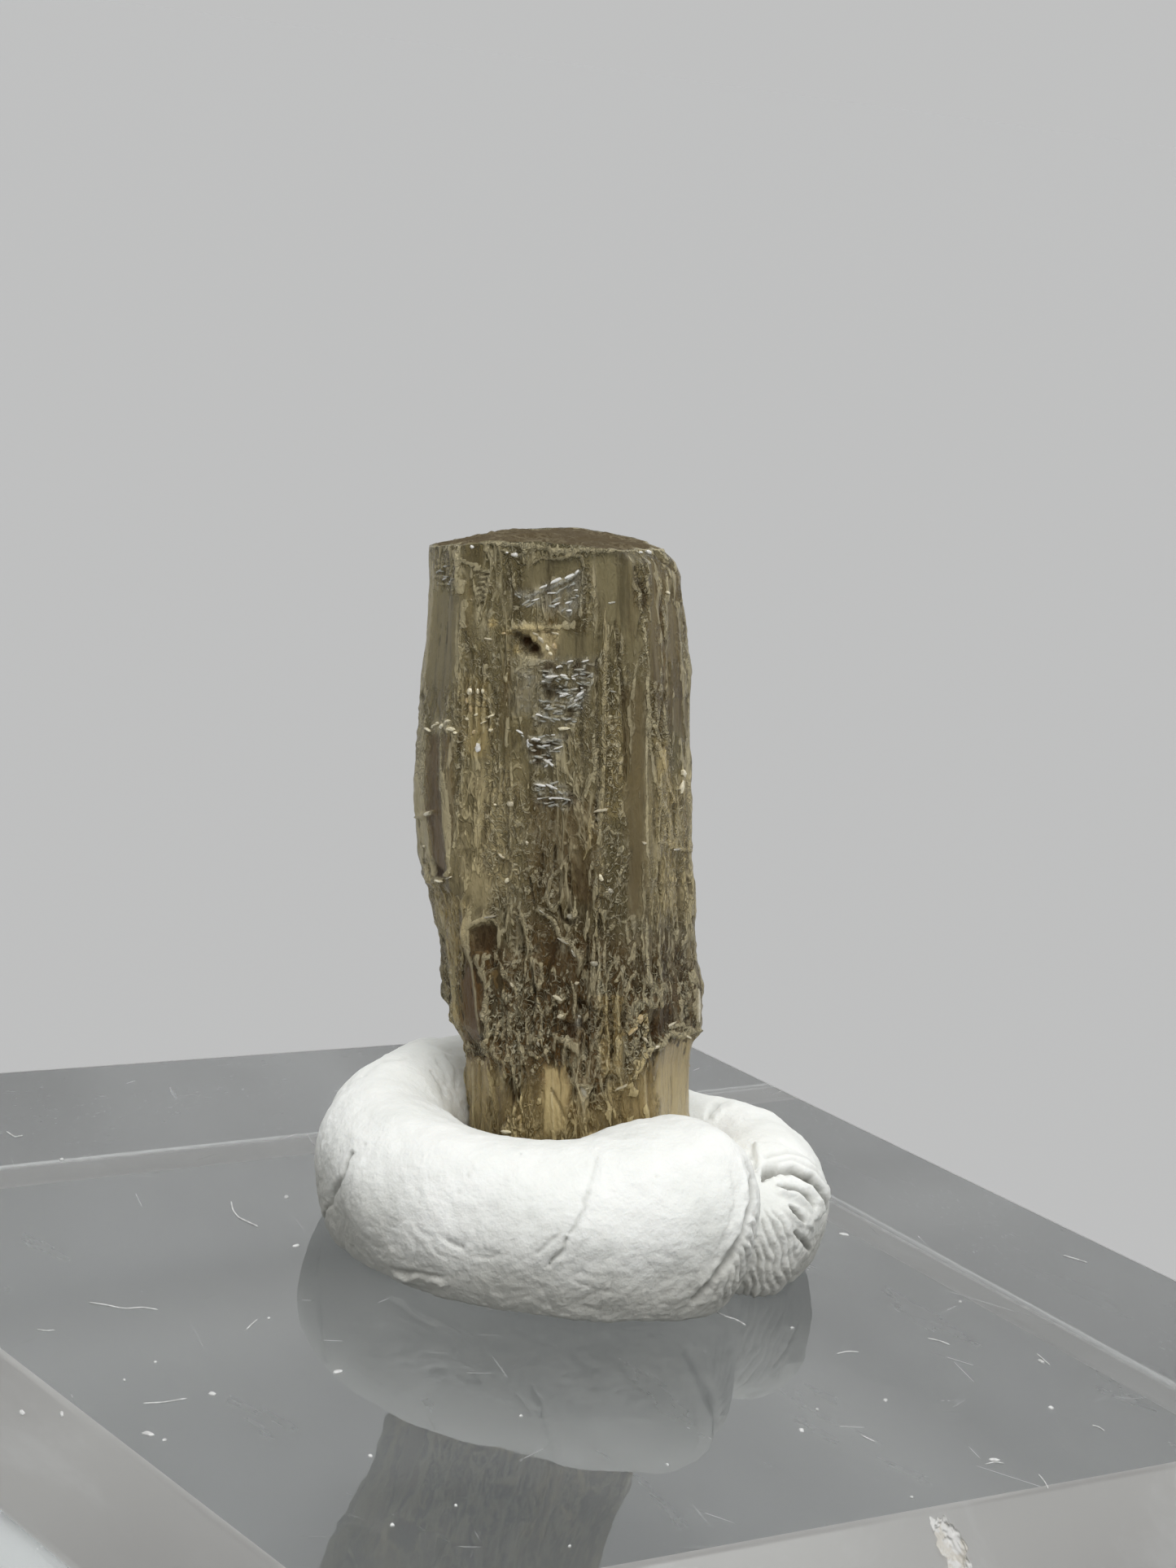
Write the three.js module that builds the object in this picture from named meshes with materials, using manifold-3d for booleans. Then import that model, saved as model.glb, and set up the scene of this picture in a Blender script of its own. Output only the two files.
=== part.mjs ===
// A scapolite crystal held upright by a ring of white putty on a clear acrylic display block.
// Millimetres, +Z up. The origin is the centre of the block's underside, with X and Y along its sides.

import * as THREE from 'three';
import Module from 'manifold-3d';
import { mergeVertices } from 'three/addons/utils/BufferGeometryUtils.js';

// Display block: a square slab, bevelled round its top and lightly chamfered round its foot.
const BLOCK_SIDE = 50.8;
const BLOCK_HEIGHT = 19.05;
const TOP_BEVEL = 2.5;
const FOOT_CHAMFER = 1.0;

// Where the specimen stands on the block, and how it is turned about the vertical.
const SPECIMEN_X = 2.0;
const SPECIMEN_Y = 0.3;
const SPECIMEN_TURN = THREE.MathUtils.degToRad(-38.3);

// Crystal: an eight-sided prism whose long axis leans to its left. Its frame has x to the right,
// y to the back and z along the long axis, from the point where that axis meets the block.
const CRYSTAL_LEAN = THREE.MathUtils.degToRad(8.6);
const CRYSTAL_TOP = 25.6;
const CRYSTAL_FOOT_GAP = 0.3;
const EDGE_SHARPNESS = 40;

// The eight prism faces, 45 degrees apart: [distance from the axis, which profile it follows].
const FIRST_FACE_ANGLE = -65;
const PRISM_FACES = [
  [4.31, 'left'],
  [2.88, 'front'],
  [3.68, 'front'],
  [3.73, 'right'],
  [4.59, 'right'],
  [3.85, 'back'],
  [3.41, 'back'],
  [5.38, 'left'],
];

// How far the crystal reaches on each side, as [height, reach], against its full reach there.
const FULL_REACH = { left: 5.3, right: 4.45, front: 3.5, back: 3.95 };
const REACH = {
  left: [
    [0, 3.75], [7.2, 4.0], [8.1, 4.45], [11, 4.6], [13.3, 5.0],
    [14, 5.4], [17, 5.5], [21.6, 5.05], [25.6, 4.75],
  ],
  right: [
    [0, 4.35], [7.4, 4.5], [8.5, 4.75], [10, 4.75],
    [11.3, 4.45], [21.5, 4.5], [23.1, 4.3], [25.6, 3.9],
  ],
  front: [[0, 3.3], [8, 3.45], [17, 3.5], [25.6, 3.35]],
  back: [[0, 3.55], [10, 3.9], [18, 3.95], [25.6, 3.7]],
};

// The broken top is slightly domed, highest a little left of the axis, and slopes down to the back.
const DOME_CENTRE_X = -1.0;
const DOME_FALL = 0.032;
const TOP_BACK_SLOPE = 0.05;

// Lengthwise striae: shallow flutes, as [flutes round the crystal, depth, wander with height].
const STRIAE = [[11, 0.05, 0.10], [19, 0.04, 0.06], [27, 0.03, 0.03]];

const CRYSTAL_COLUMNS = 96;
const CRYSTAL_LEVELS = 26;

// Putty: one rolled sausage bent round the crystal's foot, its front end lapping over its tail.
// Each station is [right, back, half width, height] from the crystal's axis.
const PUTTY_GAP = 0.3;
const PUTTY_FRONT_RUN = [
  [3.3, -4.6, 2.9, 6.4],
  [0.6, -6.1, 2.9, 5.8],
  [-2.5, -6.2, 2.8, 5.4],
  [-5.2, -4.9, 2.7, 5.3],
  [-6.8, -2.2, 2.6, 5.3],
  [-7.0, 0.8, 2.5, 5.5],
  [-5.9, 3.8, 2.5, 5.7],
];
const PUTTY_BACK_RUN = [
  [-5.9, 3.8, 2.5, 5.7],
  [-3.4, 6.0, 2.4, 5.6],
  [0.0, 6.5, 2.3, 4.9],
  [3.3, 5.4, 2.3, 4.6],
  [5.7, 3.2, 2.45, 4.8],
  [6.4, 0.6, 2.5, 4.8],
  [5.8, -1.7, 2.4, 4.2],
];
const PUTTY_BULGE_HEIGHT = 0.48;
const PUTTY_UNDERCUT = 1.5;
const PUTTY_STATION_STEPS = 6;
const PUTTY_SECTION_SIDES = 18;
const PUTTY_END_STEPS = 5;

const wasm = await Module();
wasm.setup();

const material = (name, color, roughness, more = {}) =>
  new THREE.MeshStandardMaterial({ name, color, roughness, metalness: 0, ...more });

// A closed surface from rings of points, bottom to top, each end closed by a fan to its own centre.
function loft(rings, startCentre, endCentre) {
  const sides = rings[0].length;
  const positions = [startCentre, ...rings.flat(), endCentre].flatMap((p) => [p.x, p.y, p.z]);
  const last = rings.length * sides + 1;
  const at = (ring, side) => 1 + ring * sides + (side % sides);
  const index = [];
  for (let side = 0; side < sides; side++) {
    index.push(0, at(0, side + 1), at(0, side));
    index.push(last, at(rings.length - 1, side), at(rings.length - 1, side + 1));
    for (let ring = 0; ring < rings.length - 1; ring++) {
      index.push(at(ring, side), at(ring, side + 1), at(ring + 1, side + 1));
      index.push(at(ring, side), at(ring + 1, side + 1), at(ring + 1, side));
    }
  }
  const geometry = new THREE.BufferGeometry();
  geometry.setAttribute('position', new THREE.Float32BufferAttribute(positions, 3));
  geometry.setIndex(index);
  return geometry;
}

function toSolid(geometry) {
  const bare = geometry.clone();
  bare.deleteAttribute('normal');
  bare.deleteAttribute('uv');
  const merged = mergeVertices(bare);
  const vertProperties = new Float32Array(merged.attributes.position.array);
  const triVerts = new Uint32Array(merged.index.array);
  return new wasm.Manifold(new wasm.Mesh({ numProp: 3, vertProperties, triVerts }));
}

function toGeometry(solid) {
  const { vertProperties, triVerts } = solid.getMesh();
  const geometry = new THREE.BufferGeometry();
  geometry.setAttribute('position', new THREE.BufferAttribute(new Float32Array(vertProperties), 3));
  geometry.setIndex(new THREE.BufferAttribute(new Uint32Array(triVerts), 1));
  return geometry;
}

function named(name, geometry, finish) {
  const shaded = geometry.toNonIndexed();
  shaded.computeVertexNormals();
  const mesh = new THREE.Mesh(shaded, finish);
  mesh.name = name;
  return mesh;
}

// Block: square rings at the foot, above the chamfer, below the bevel and at the top face.
function displayBlock() {
  const corners = [[-1, -1], [1, -1], [1, 1], [-1, 1]];
  const square = (inset, z) => {
    const half = BLOCK_SIDE / 2 - inset;
    return corners.map(([x, y]) => new THREE.Vector3(x * half, y * half, z));
  };
  const rings = [
    square(FOOT_CHAMFER, 0),
    square(0, FOOT_CHAMFER),
    square(0, BLOCK_HEIGHT - TOP_BEVEL),
    square(TOP_BEVEL, BLOCK_HEIGHT),
  ];
  return loft(rings, new THREE.Vector3(0, 0, 0), new THREE.Vector3(0, 0, BLOCK_HEIGHT));
}

function reachAt(side, z) {
  const points = REACH[side];
  const next = points.findIndex(([height]) => height >= z);
  if (next <= 0) return next === 0 ? points[0][1] : points[points.length - 1][1];
  const [lowZ, low] = points[next - 1];
  const [highZ, high] = points[next];
  return THREE.MathUtils.mapLinear(z, lowZ, highZ, low, high);
}

// Radius of the crystal at an angle measured from the front towards the right, at height z:
// the inside of eight planes, with edges very slightly rounded, then fluted by the striae.
function crystalRadius(angle, z) {
  let sum = 0;
  PRISM_FACES.forEach(([distance, side], i) => {
    const faceAngle = THREE.MathUtils.degToRad(FIRST_FACE_ANGLE + 45 * i);
    const scaled = (distance * reachAt(side, z)) / FULL_REACH[side];
    sum += (Math.max(Math.cos(angle - faceAngle), 0) / scaled) ** EDGE_SHARPNESS;
  });
  const flutes = STRIAE.reduce(
    (depth, [count, size, wander], i) => depth + size * Math.cos(count * angle + i + wander * z),
    0,
  );
  return sum ** (-1 / EDGE_SHARPNESS) + flutes;
}

const crystalTop = (x, y) => CRYSTAL_TOP - DOME_FALL * (x - DOME_CENTRE_X) ** 2 - TOP_BACK_SLOPE * y;

// The foot is broken level with the block, so in the leaning frame it is cut at a slant.
const crystalFoot = (x) => (CRYSTAL_FOOT_GAP - x * Math.sin(CRYSTAL_LEAN)) / Math.cos(CRYSTAL_LEAN);

// The crystal in its own leaning frame, grown outwards by a margin; a deep one runs past its foot.
function crystalPrism(margin, deep) {
  const rings = [];
  for (let level = 0; level <= CRYSTAL_LEVELS; level++) {
    const part = level / CRYSTAL_LEVELS;
    const ring = [];
    for (let column = 0; column < CRYSTAL_COLUMNS; column++) {
      const angle = (2 * Math.PI * column) / CRYSTAL_COLUMNS;
      const radius = crystalRadius(angle, part * CRYSTAL_TOP) + margin;
      const x = radius * Math.sin(angle);
      const y = -radius * Math.cos(angle);
      const foot = crystalFoot(x) - deep;
      ring.push(new THREE.Vector3(x, y, THREE.MathUtils.lerp(foot, crystalTop(x, y), part)));
    }
    rings.push(ring);
  }
  const foot = new THREE.Vector3(0, 0, crystalFoot(0) - deep);
  const top = new THREE.Vector3(0, 0, crystalTop(0, 0));
  return loft(rings, foot, top);
}

// One run of the sausage: a flat-bottomed round section swept through its stations, with round ends.
function puttyRun(stations) {
  const curve = (points) => new THREE.CatmullRomCurve3(points);
  const path = curve(stations.map(([x, y]) => new THREE.Vector3(x, y, 0)));
  const sizes = curve(stations.map(([, , width, height]) => new THREE.Vector3(width, height, 0)));
  const steps = (stations.length - 1) * PUTTY_STATION_STEPS;
  const section = (t, shift, shrink) => {
    const centre = path.getPoint(t);
    const tangent = path.getTangent(t);
    const size = sizes.getPoint(t);
    const across = new THREE.Vector3(-tangent.y, tangent.x, 0);
    const middle = PUTTY_BULGE_HEIGHT * size.y;
    const ring = [];
    for (let side = 0; side < PUTTY_SECTION_SIDES; side++) {
      const turn = (2 * Math.PI * side) / PUTTY_SECTION_SIDES;
      const rise = Math.sin(turn) * shrink;
      const half = rise > 0 ? size.y - middle : middle * PUTTY_UNDERCUT;
      const point = centre.clone()
        .addScaledVector(tangent, shift * size.x)
        .addScaledVector(across, Math.cos(turn) * shrink * size.x);
      point.z = BLOCK_HEIGHT + Math.max(0, middle + half * rise);
      ring.push(point);
    }
    return ring;
  };
  const rings = [];
  for (let i = 1; i <= PUTTY_END_STEPS; i++) {
    const turn = (i / (PUTTY_END_STEPS + 1)) * (Math.PI / 2);
    rings.push(section(0, -Math.cos(turn), Math.sin(turn)));
  }
  for (let i = 0; i <= steps; i++) rings.push(section(i / steps, 0, 1));
  for (let i = PUTTY_END_STEPS; i >= 1; i--) {
    const turn = (i / (PUTTY_END_STEPS + 1)) * (Math.PI / 2);
    rings.push(section(1, Math.cos(turn), Math.sin(turn)));
  }
  const tip = (t, way) => {
    const size = sizes.getPoint(t);
    const point = path.getPoint(t).addScaledVector(path.getTangent(t), way * size.x);
    point.z = BLOCK_HEIGHT + PUTTY_BULGE_HEIGHT * size.y;
    return point;
  };
  return loft(rings, tip(0, -1), tip(1, 1));
}

const lean = new THREE.Matrix4().makeRotationY(-CRYSTAL_LEAN);
const raise = new THREE.Matrix4().makeTranslation(0, 0, BLOCK_HEIGHT);

// The putty is both runs joined, less the crystal and the gap around it.
function puttyRing() {
  const mould = crystalPrism(PUTTY_GAP, 2).applyMatrix4(lean).applyMatrix4(raise);
  const sausage = toSolid(puttyRun(PUTTY_FRONT_RUN)).add(toSolid(puttyRun(PUTTY_BACK_RUN)));
  return toGeometry(sausage.subtract(toSolid(mould)));
}

const object = new THREE.Group();

const acrylic = material('clear_acrylic', 0xe8edee, 0.05, { transparent: true, opacity: 0.35 });
object.add(named('display_block', displayBlock(), acrylic));

const specimen = new THREE.Group();
specimen.position.set(SPECIMEN_X, SPECIMEN_Y, 0);
specimen.rotation.z = SPECIMEN_TURN;
object.add(specimen);

specimen.add(named('putty_ring', puttyRing(), material('white_putty', 0xf2f3ef, 0.9)));

const crystal = named('scapolite', crystalPrism(0, 0), material('scapolite', 0x857a63, 0.35));
crystal.position.z = BLOCK_HEIGHT;
crystal.rotation.y = -CRYSTAL_LEAN;
specimen.add(crystal);

export default object;
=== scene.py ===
import math

import bmesh
import bpy
import numpy as np
from mathutils import Matrix, Vector


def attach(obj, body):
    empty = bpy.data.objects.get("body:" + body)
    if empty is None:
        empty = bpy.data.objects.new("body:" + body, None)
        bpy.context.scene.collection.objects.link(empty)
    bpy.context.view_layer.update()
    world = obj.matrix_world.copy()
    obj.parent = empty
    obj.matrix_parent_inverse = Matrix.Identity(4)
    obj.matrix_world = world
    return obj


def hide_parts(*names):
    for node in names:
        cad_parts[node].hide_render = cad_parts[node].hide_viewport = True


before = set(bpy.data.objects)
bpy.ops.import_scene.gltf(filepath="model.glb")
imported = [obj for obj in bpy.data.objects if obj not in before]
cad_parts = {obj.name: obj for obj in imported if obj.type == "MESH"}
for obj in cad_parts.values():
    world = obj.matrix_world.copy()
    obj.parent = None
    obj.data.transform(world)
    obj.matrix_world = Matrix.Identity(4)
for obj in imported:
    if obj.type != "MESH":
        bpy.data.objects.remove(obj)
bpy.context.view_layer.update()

MM = 0.001
TAU = 2 * math.pi
UP = np.array([0.0, 0.0, 1.0])

# ---------------------------------------------------------------- camera
# The frame is 1445 x 1927 pixels and the focal length 4480 of them. Angles in radians, places in mm.
FRAME_W, FRAME_H, FOCAL = 1445, 1927, 4480.0
SENSOR = 36.0
CLIP_FROM_M, CLIP_TO_M = 0.005, 50.0
PITCH, ROLL, YAW = 0.20284, 0.13752, 0.668
CAMERA_AT = np.array([-76.94, -96.88, 61.524])

level_forward = np.array([math.sin(YAW), math.cos(YAW), 0.0])
level_right = np.array([math.cos(YAW), -math.sin(YAW), 0.0])
FORWARD = level_forward * math.cos(PITCH) - UP * math.sin(PITCH)
level_down = np.cross(FORWARD, level_right)
RIGHT = math.cos(ROLL) * level_right - math.sin(ROLL) * level_down
DOWN = math.sin(ROLL) * level_right + math.cos(ROLL) * level_down


def link(name, data):
    """A new object in the scene that holds data."""
    obj = bpy.data.objects.new(name, data)
    bpy.context.scene.collection.objects.link(obj)
    return obj


def make_camera():
    data = bpy.data.cameras.new("camera")
    data.sensor_width = SENSOR
    data.lens = FOCAL * SENSOR / FRAME_H
    data.clip_start, data.clip_end = CLIP_FROM_M, CLIP_TO_M
    camera = link("camera", data)
    turn = Matrix([[RIGHT[i], -DOWN[i], -FORWARD[i]] for i in range(3)]).to_4x4()
    camera.matrix_world = Matrix.Translation(Vector(CAMERA_AT * MM)) @ turn
    bpy.context.scene.camera = camera


def to_frame(points):
    """Where points in mm fall in the frame, in pixels, and how deep they lie."""
    away = points - CAMERA_AT
    depth = away @ FORWARD
    across = FRAME_W / 2 + FOCAL * (away @ RIGHT) / depth
    down = FRAME_H / 2 + FOCAL * (away @ DOWN) / depth
    return across, down, depth


# ---------------------------------------------------------------- number helpers
class Noise:
    """Smooth gradient noise over space, about -1 to 1."""

    WAYS, GAIN = 256, 1.6

    def __init__(self, seed):
        rng = np.random.default_rng(seed)
        self.order = rng.permutation(self.WAYS)
        way = rng.normal(size=(self.WAYS, 3))
        self.way = way / np.linalg.norm(way, axis=1, keepdims=True)

    def __call__(self, p):
        cell = np.floor(p).astype(np.int64)
        f = p - cell
        ease = f * f * f * (f * (f * 6 - 15) + 10)
        total = np.zeros(len(p))
        for corner in np.ndindex(2, 2, 2):
            h, share = 0, 1.0
            for axis, far in enumerate(corner):
                h = self.order[(h + cell[:, axis] + far) % self.WAYS]
                share = share * (ease[:, axis] if far else 1 - ease[:, axis])
            total += share * ((f - corner) * self.way[h]).sum(axis=1)
        return total * self.GAIN


PLATE_LEVELS, HASH_PRIMES = 4096, (73856093, 19349663, 83492791)


def plates(p, seed, sharpness):
    """A different random level in each cell of a scattered pattern, 0 to 1, with short slopes between."""
    table = np.random.default_rng(seed).random((PLATE_LEVELS, 4))
    cell = np.floor(p).astype(np.int64)
    top, under = np.zeros(len(p)), np.zeros(len(p))
    for step in np.ndindex(3, 3, 3):
        c = cell + step - 1
        own = table[np.bitwise_xor.reduce(c * HASH_PRIMES, axis=1) % PLATE_LEVELS]
        weight = np.exp(-sharpness * np.linalg.norm(c + own[:, :3] - p, axis=1))
        top += weight * own[:, 3]
        under += weight
    return top / under


def smooth(low, high, value):
    t = np.clip((value - low) / (high - low), 0, 1)
    return t * t * (3 - 2 * t)


def bell(far, width):
    return np.exp(-((far / width) ** 2))


def spot(u, v, at, size):
    return np.exp(-(((u - at[0]) / size[0]) ** 2 + ((v - at[1]) / size[1]) ** 2))


def in_pairs(numbers):
    return list(zip(numbers[::2], numbers[1::2]))


def line_distance(u, v, points):
    """Distance in pixels from each (u, v) to a line through points, and how far along it, 0 to 1."""
    points = np.array(points, dtype=float)
    best, along = np.full(len(u), np.inf), np.zeros(len(u))
    steps = np.linalg.norm(np.diff(points, axis=0), axis=1)
    done = 0.0
    for a, b, step in zip(points[:-1], points[1:], steps):
        d = (b - a) / step
        t = np.clip((u - a[0]) * d[0] + (v - a[1]) * d[1], 0, step)
        far = np.hypot(u - a[0] - t * d[0], v - a[1] - t * d[1])
        nearer = far < best
        best = np.where(nearer, far, best)
        along = np.where(nearer, (done + t) / steps.sum(), along)
        done += step
    return best, along


def tapered(width, along, quickly, least, uneven):
    """The half width of a line that thins to least of itself at both ends."""
    return width * (least + (1 - least) * np.minimum(1, quickly * np.minimum(along, 1 - along)) + uneven)


def patch(u, v, points, soft):
    """1 inside a closed outline, falling to 0 over soft pixels to either side of it."""
    inside = np.zeros(len(u), dtype=bool)
    for (x0, y0), (x1, y1) in zip(points, points[1:] + points[:1]):
        if y0 != y1:
            crosses = (y0 > v) != (y1 > v)
            inside ^= crosses & (u < x0 + (v - y0) * (x1 - x0) / (y1 - y0))
    far = line_distance(u, v, points + points[:1])[0]
    return smooth(-soft, soft, np.where(inside, far, -far))


# ---------------------------------------------------------------- mesh helpers
def add_attribute(mesh, key, values):
    values = np.asarray(values, dtype=np.float32)
    kind, field = ("FLOAT_VECTOR", "vector") if values.ndim == 2 else ("FLOAT", "value")
    mesh.attributes.new(key, kind, "POINT").data.foreach_set(field, values.ravel())


def add_mesh(name, points_mm, faces, material, attributes=None, shade_smooth=True):
    mesh = bpy.data.meshes.new(name)
    mesh.from_pydata((np.asarray(points_mm) * MM).tolist(), [], faces)
    mesh.validate()
    mesh.update()
    if shade_smooth:
        mesh.polygons.foreach_set("use_smooth", [True] * len(mesh.polygons))
    for key, values in (attributes or {}).items():
        add_attribute(mesh, key, values)
    mesh.materials.append(material)
    return link(name, mesh)


def add_bmesh(name, bm, materials):
    mesh = bpy.data.meshes.new(name)
    bm.to_mesh(mesh)
    bm.free()
    for material in materials:
        mesh.materials.append(material)
    return link(name, mesh)


def read_mesh(mesh):
    """The points of a mesh, in mm, and its normals at them."""
    flat = np.empty(3 * len(mesh.vertices), dtype=np.float32)
    mesh.vertices.foreach_get("co", flat)
    points = flat.reshape(-1, 3).astype(float) / MM
    mesh.vertices.foreach_get("normal", flat)
    return points, flat.reshape(-1, 3).astype(float)


def modify(obj, kind, **settings):
    modifier = obj.modifiers.new(kind, kind)
    for key, value in settings.items():
        setattr(modifier, key, value)


def made_real(obj):
    """The mesh that an object's modifiers make."""
    graph = bpy.context.evaluated_depsgraph_get()
    return bpy.data.meshes.new_from_object(
        obj.evaluated_get(graph), preserve_all_data_layers=True, depsgraph=graph)


def keep_shape(obj):
    """Puts what an object's modifiers make in place of its own mesh."""
    name, shaped = obj.data.name, made_real(obj)
    obj.modifiers.clear()
    obj.data = shaped
    shaped.name = name


def tube_faces(rows, columns, start=0):
    """Quads between rows of points that each close on themselves."""
    first = start + columns * np.arange(rows - 1)[:, None]
    a = (first + np.arange(columns)).ravel()
    b = (first + (np.arange(columns) + 1) % columns).ravel()
    return np.stack([a, b, b + columns, a + columns], axis=1).tolist()


def fan(hub, start, columns, turned=False):
    """Triangles from one point to the sides of a closed row of points."""
    row = range(start, start + columns)
    sides = zip(row, (*row[1:], start))
    return [(hub, j, i) if turned else (hub, i, j) for i, j in sides]


# ---------------------------------------------------------------- material helpers
class Value:
    """What a node gives, for use in plain sums."""

    def __init__(self, nodes, socket):
        self.nodes, self.socket = nodes, socket

    def __add__(self, other):
        return self.nodes.math("ADD", self, other)

    def __sub__(self, other):
        return self.nodes.math("SUBTRACT", self, other)

    def __rsub__(self, other):
        return self.nodes.math("SUBTRACT", other, self)

    def __mul__(self, other):
        return self.nodes.math("MULTIPLY", self, other)

    def __abs__(self):
        return self.nodes.math("ABSOLUTE", self)


class Nodes:
    """Short names for the nodes that the materials are made of."""

    def __init__(self, name):
        self.material = bpy.data.materials.new(name)
        self.material.use_nodes = True
        self.tree = self.material.node_tree
        self.tree.nodes.clear()
        self.out = self.tree.nodes.new("ShaderNodeOutputMaterial")
        self.surface = self.tree.nodes.new("ShaderNodeBsdfPrincipled")
        self.tree.links.new(self.surface.outputs[0], self.out.inputs["Surface"])

    def put(self, socket, value):
        if isinstance(value, Value):
            self.tree.links.new(value.socket, socket)
        elif isinstance(value, tuple) and len(value) == 3 and socket.type == "RGBA":
            socket.default_value = (*value, 1.0)
        else:
            socket.default_value = value

    def add(self, kind, output, inputs, **settings):
        node = self.tree.nodes.new("ShaderNode" + kind)
        for key, value in settings.items():
            setattr(node, key, value)
        for key, value in inputs.items():
            self.put(node.inputs[key], value)
        return Value(self, node.outputs[output])

    def set(self, **values):
        for key, value in values.items():
            self.put(self.surface.inputs[key.replace("_", " ")], value)

    def attribute(self, name, output="Fac"):
        return self.add("Attribute", output, {}, attribute_name=name)

    def place(self):
        return self.add("TexCoord", "Object", {})

    def level(self, vector):
        return self.add("SeparateXYZ", "Z", {0: vector})

    def mapped(self, vector, **changes):
        return self.add("Mapping", 0, {"Vector": vector, **changes})

    def noise(self, vector, scale, detail=2.0, rough=0.5, warp=0.0):
        inputs = {"Vector": vector, "Scale": scale, "Detail": detail, "Roughness": rough, "Distortion": warp}
        return self.add("TexNoise", "Fac", inputs)

    def ramp(self, value, low, high, to_low=0.0, to_high=1.0):
        inputs = {"Value": value, "From Min": low, "From Max": high, "To Min": to_low, "To Max": to_high}
        return self.add("MapRange", "Result", inputs, interpolation_type="SMOOTHSTEP")

    def math(self, how, a, b=0.0, clamp=False):
        return self.add("Math", 0, {0: a, 1: b}, operation=how, use_clamp=clamp)

    def most(self, first, *others):
        for other in others:
            first = self.math("MAXIMUM", first, other)
        return first

    def mix(self, share, a, b):
        return self.add("Mix", 2, {"Factor": share, 6: a, 7: b}, data_type="RGBA")

    def blend(self, share, a, b):
        return self.add("Mix", 0, {"Factor": share, 2: a, 3: b})

    def bump(self, height, distance, strength=1.0):
        inputs = {"Height": height, "Distance": distance, "Strength": strength}
        self.put(self.surface.inputs["Normal"], self.add("Bump", 0, inputs))

    def absorb(self, colour, density):
        inputs = {"Color": colour, "Density": density}
        self.put(self.out.inputs["Volume"], self.add("VolumeAbsorption", 0, inputs))


# ---------------------------------------------------------------- the specimen's frames
BLOCK_SIDE, BLOCK_HEIGHT, TOP_BEVEL, FOOT_CHAMFER = 50.8, 19.05, 2.5, 1.0
SPECIMEN_AT = np.array([2.0, 0.3, 0.0])
SPECIMEN_TURN = math.radians(-38.3)
LEAN = math.radians(8.6)
LIFT = UP * BLOCK_HEIGHT

turn_z = np.array([
    [math.cos(SPECIMEN_TURN), -math.sin(SPECIMEN_TURN), 0.0],
    [math.sin(SPECIMEN_TURN), math.cos(SPECIMEN_TURN), 0.0],
    [0.0, 0.0, 1.0],
])
lean_y = np.array([
    [math.cos(LEAN), 0.0, -math.sin(LEAN)],
    [0.0, 1.0, 0.0],
    [math.sin(LEAN), 0.0, math.cos(LEAN)],
])


def from_specimen(p):
    return p @ turn_z.T + SPECIMEN_AT


def from_crystal(p):
    return from_specimen(p @ lean_y.T + LIFT)


def to_crystal(p):
    return ((p - SPECIMEN_AT) @ turn_z - LIFT) @ lean_y


def turned_with_crystal(ways):
    return ways @ lean_y.T @ turn_z.T


# ---------------------------------------------------------------- crystal
STONE_IOR = 1.55
CRYSTAL_TOP = 25.6
FIRST_FACE, FACE_TURN = math.radians(-65), math.radians(45)
FACES = [(4.31, "left"), (2.88, "front"), (3.68, "front"), (3.73, "right"),
         (4.59, "right"), (3.85, "back"), (3.41, "back"), (5.38, "left")]
FULL_REACH = {"left": 5.3, "right": 4.45, "front": 3.5, "back": 3.95}
REACH = {
    "left": [(0, 3.75), (7.0, 4.0), (7.9, 4.6), (9.5, 4.75), (11, 4.85), (12.8, 5.1),
             (13.25, 5.4), (17, 5.5), (21.6, 5.05), (25.6, 4.75)],
    "right": [(0, 4.2), (7.4, 4.3), (8.5, 4.5), (10, 4.5),
              (11.3, 4.36), (21.5, 4.45), (23.1, 4.3), (24.8, 4.08), (25.25, 3.86), (25.6, 3.4)],
    "front": [(0, 3.3), (8, 3.45), (17, 3.5), (25.6, 3.35)],
    "back": [(0, 3.55), (10, 3.9), (18, 3.95), (25.6, 3.7)],
}
EDGE_SHARPNESS = 40
# The width of the pale band of painted rim light along the prism's edges.
EDGE_RIM_WIDTH = 0.022


def face_pulls(angle, z):
    """For each flat side of the prism, how near it lies in each direction: the reciprocal of its distance."""
    for i, (distance, side) in enumerate(FACES):
        reach = np.interp(z, *np.array(REACH[side]).T) / FULL_REACH[side]
        yield np.maximum(np.cos(angle - FIRST_FACE - FACE_TURN * i), 0) / (distance * reach)


def prism_radius(angle, z):
    total = np.zeros_like(angle)
    for pull in face_pulls(angle, z):
        total += pull ** EDGE_SHARPNESS
    return total ** (-1 / EDGE_SHARPNESS)


def prism_edges(angle, z):
    """1 on the edges where two flat sides meet, falling to 0 a little way from them."""
    pulls = np.sort(list(face_pulls(angle, z)), axis=0)
    return bell(1 - pulls[-2] / pulls[-1], EDGE_RIM_WIDTH)


def prism_outward(angle, z, step=0.01):
    """Which way the sides of the prism look, by the crystal's own axes."""
    slope = prism_radius(angle + step, z) - prism_radius(angle - step, z)
    slope /= 2 * step * prism_radius(angle, z)
    x = np.sin(angle) - slope * np.cos(angle)
    y = -np.cos(angle) - slope * np.sin(angle)
    return np.stack([x, y, np.zeros(len(x))], axis=1) / np.hypot(x, y)[:, None]


def crystal_top(x, y):
    return CRYSTAL_TOP - 0.032 * (x + 1) ** 2 - 0.05 * y


def crystal_foot(x):
    return (FOOT_GAP - x * math.sin(LEAN)) / math.cos(LEAN)


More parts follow.
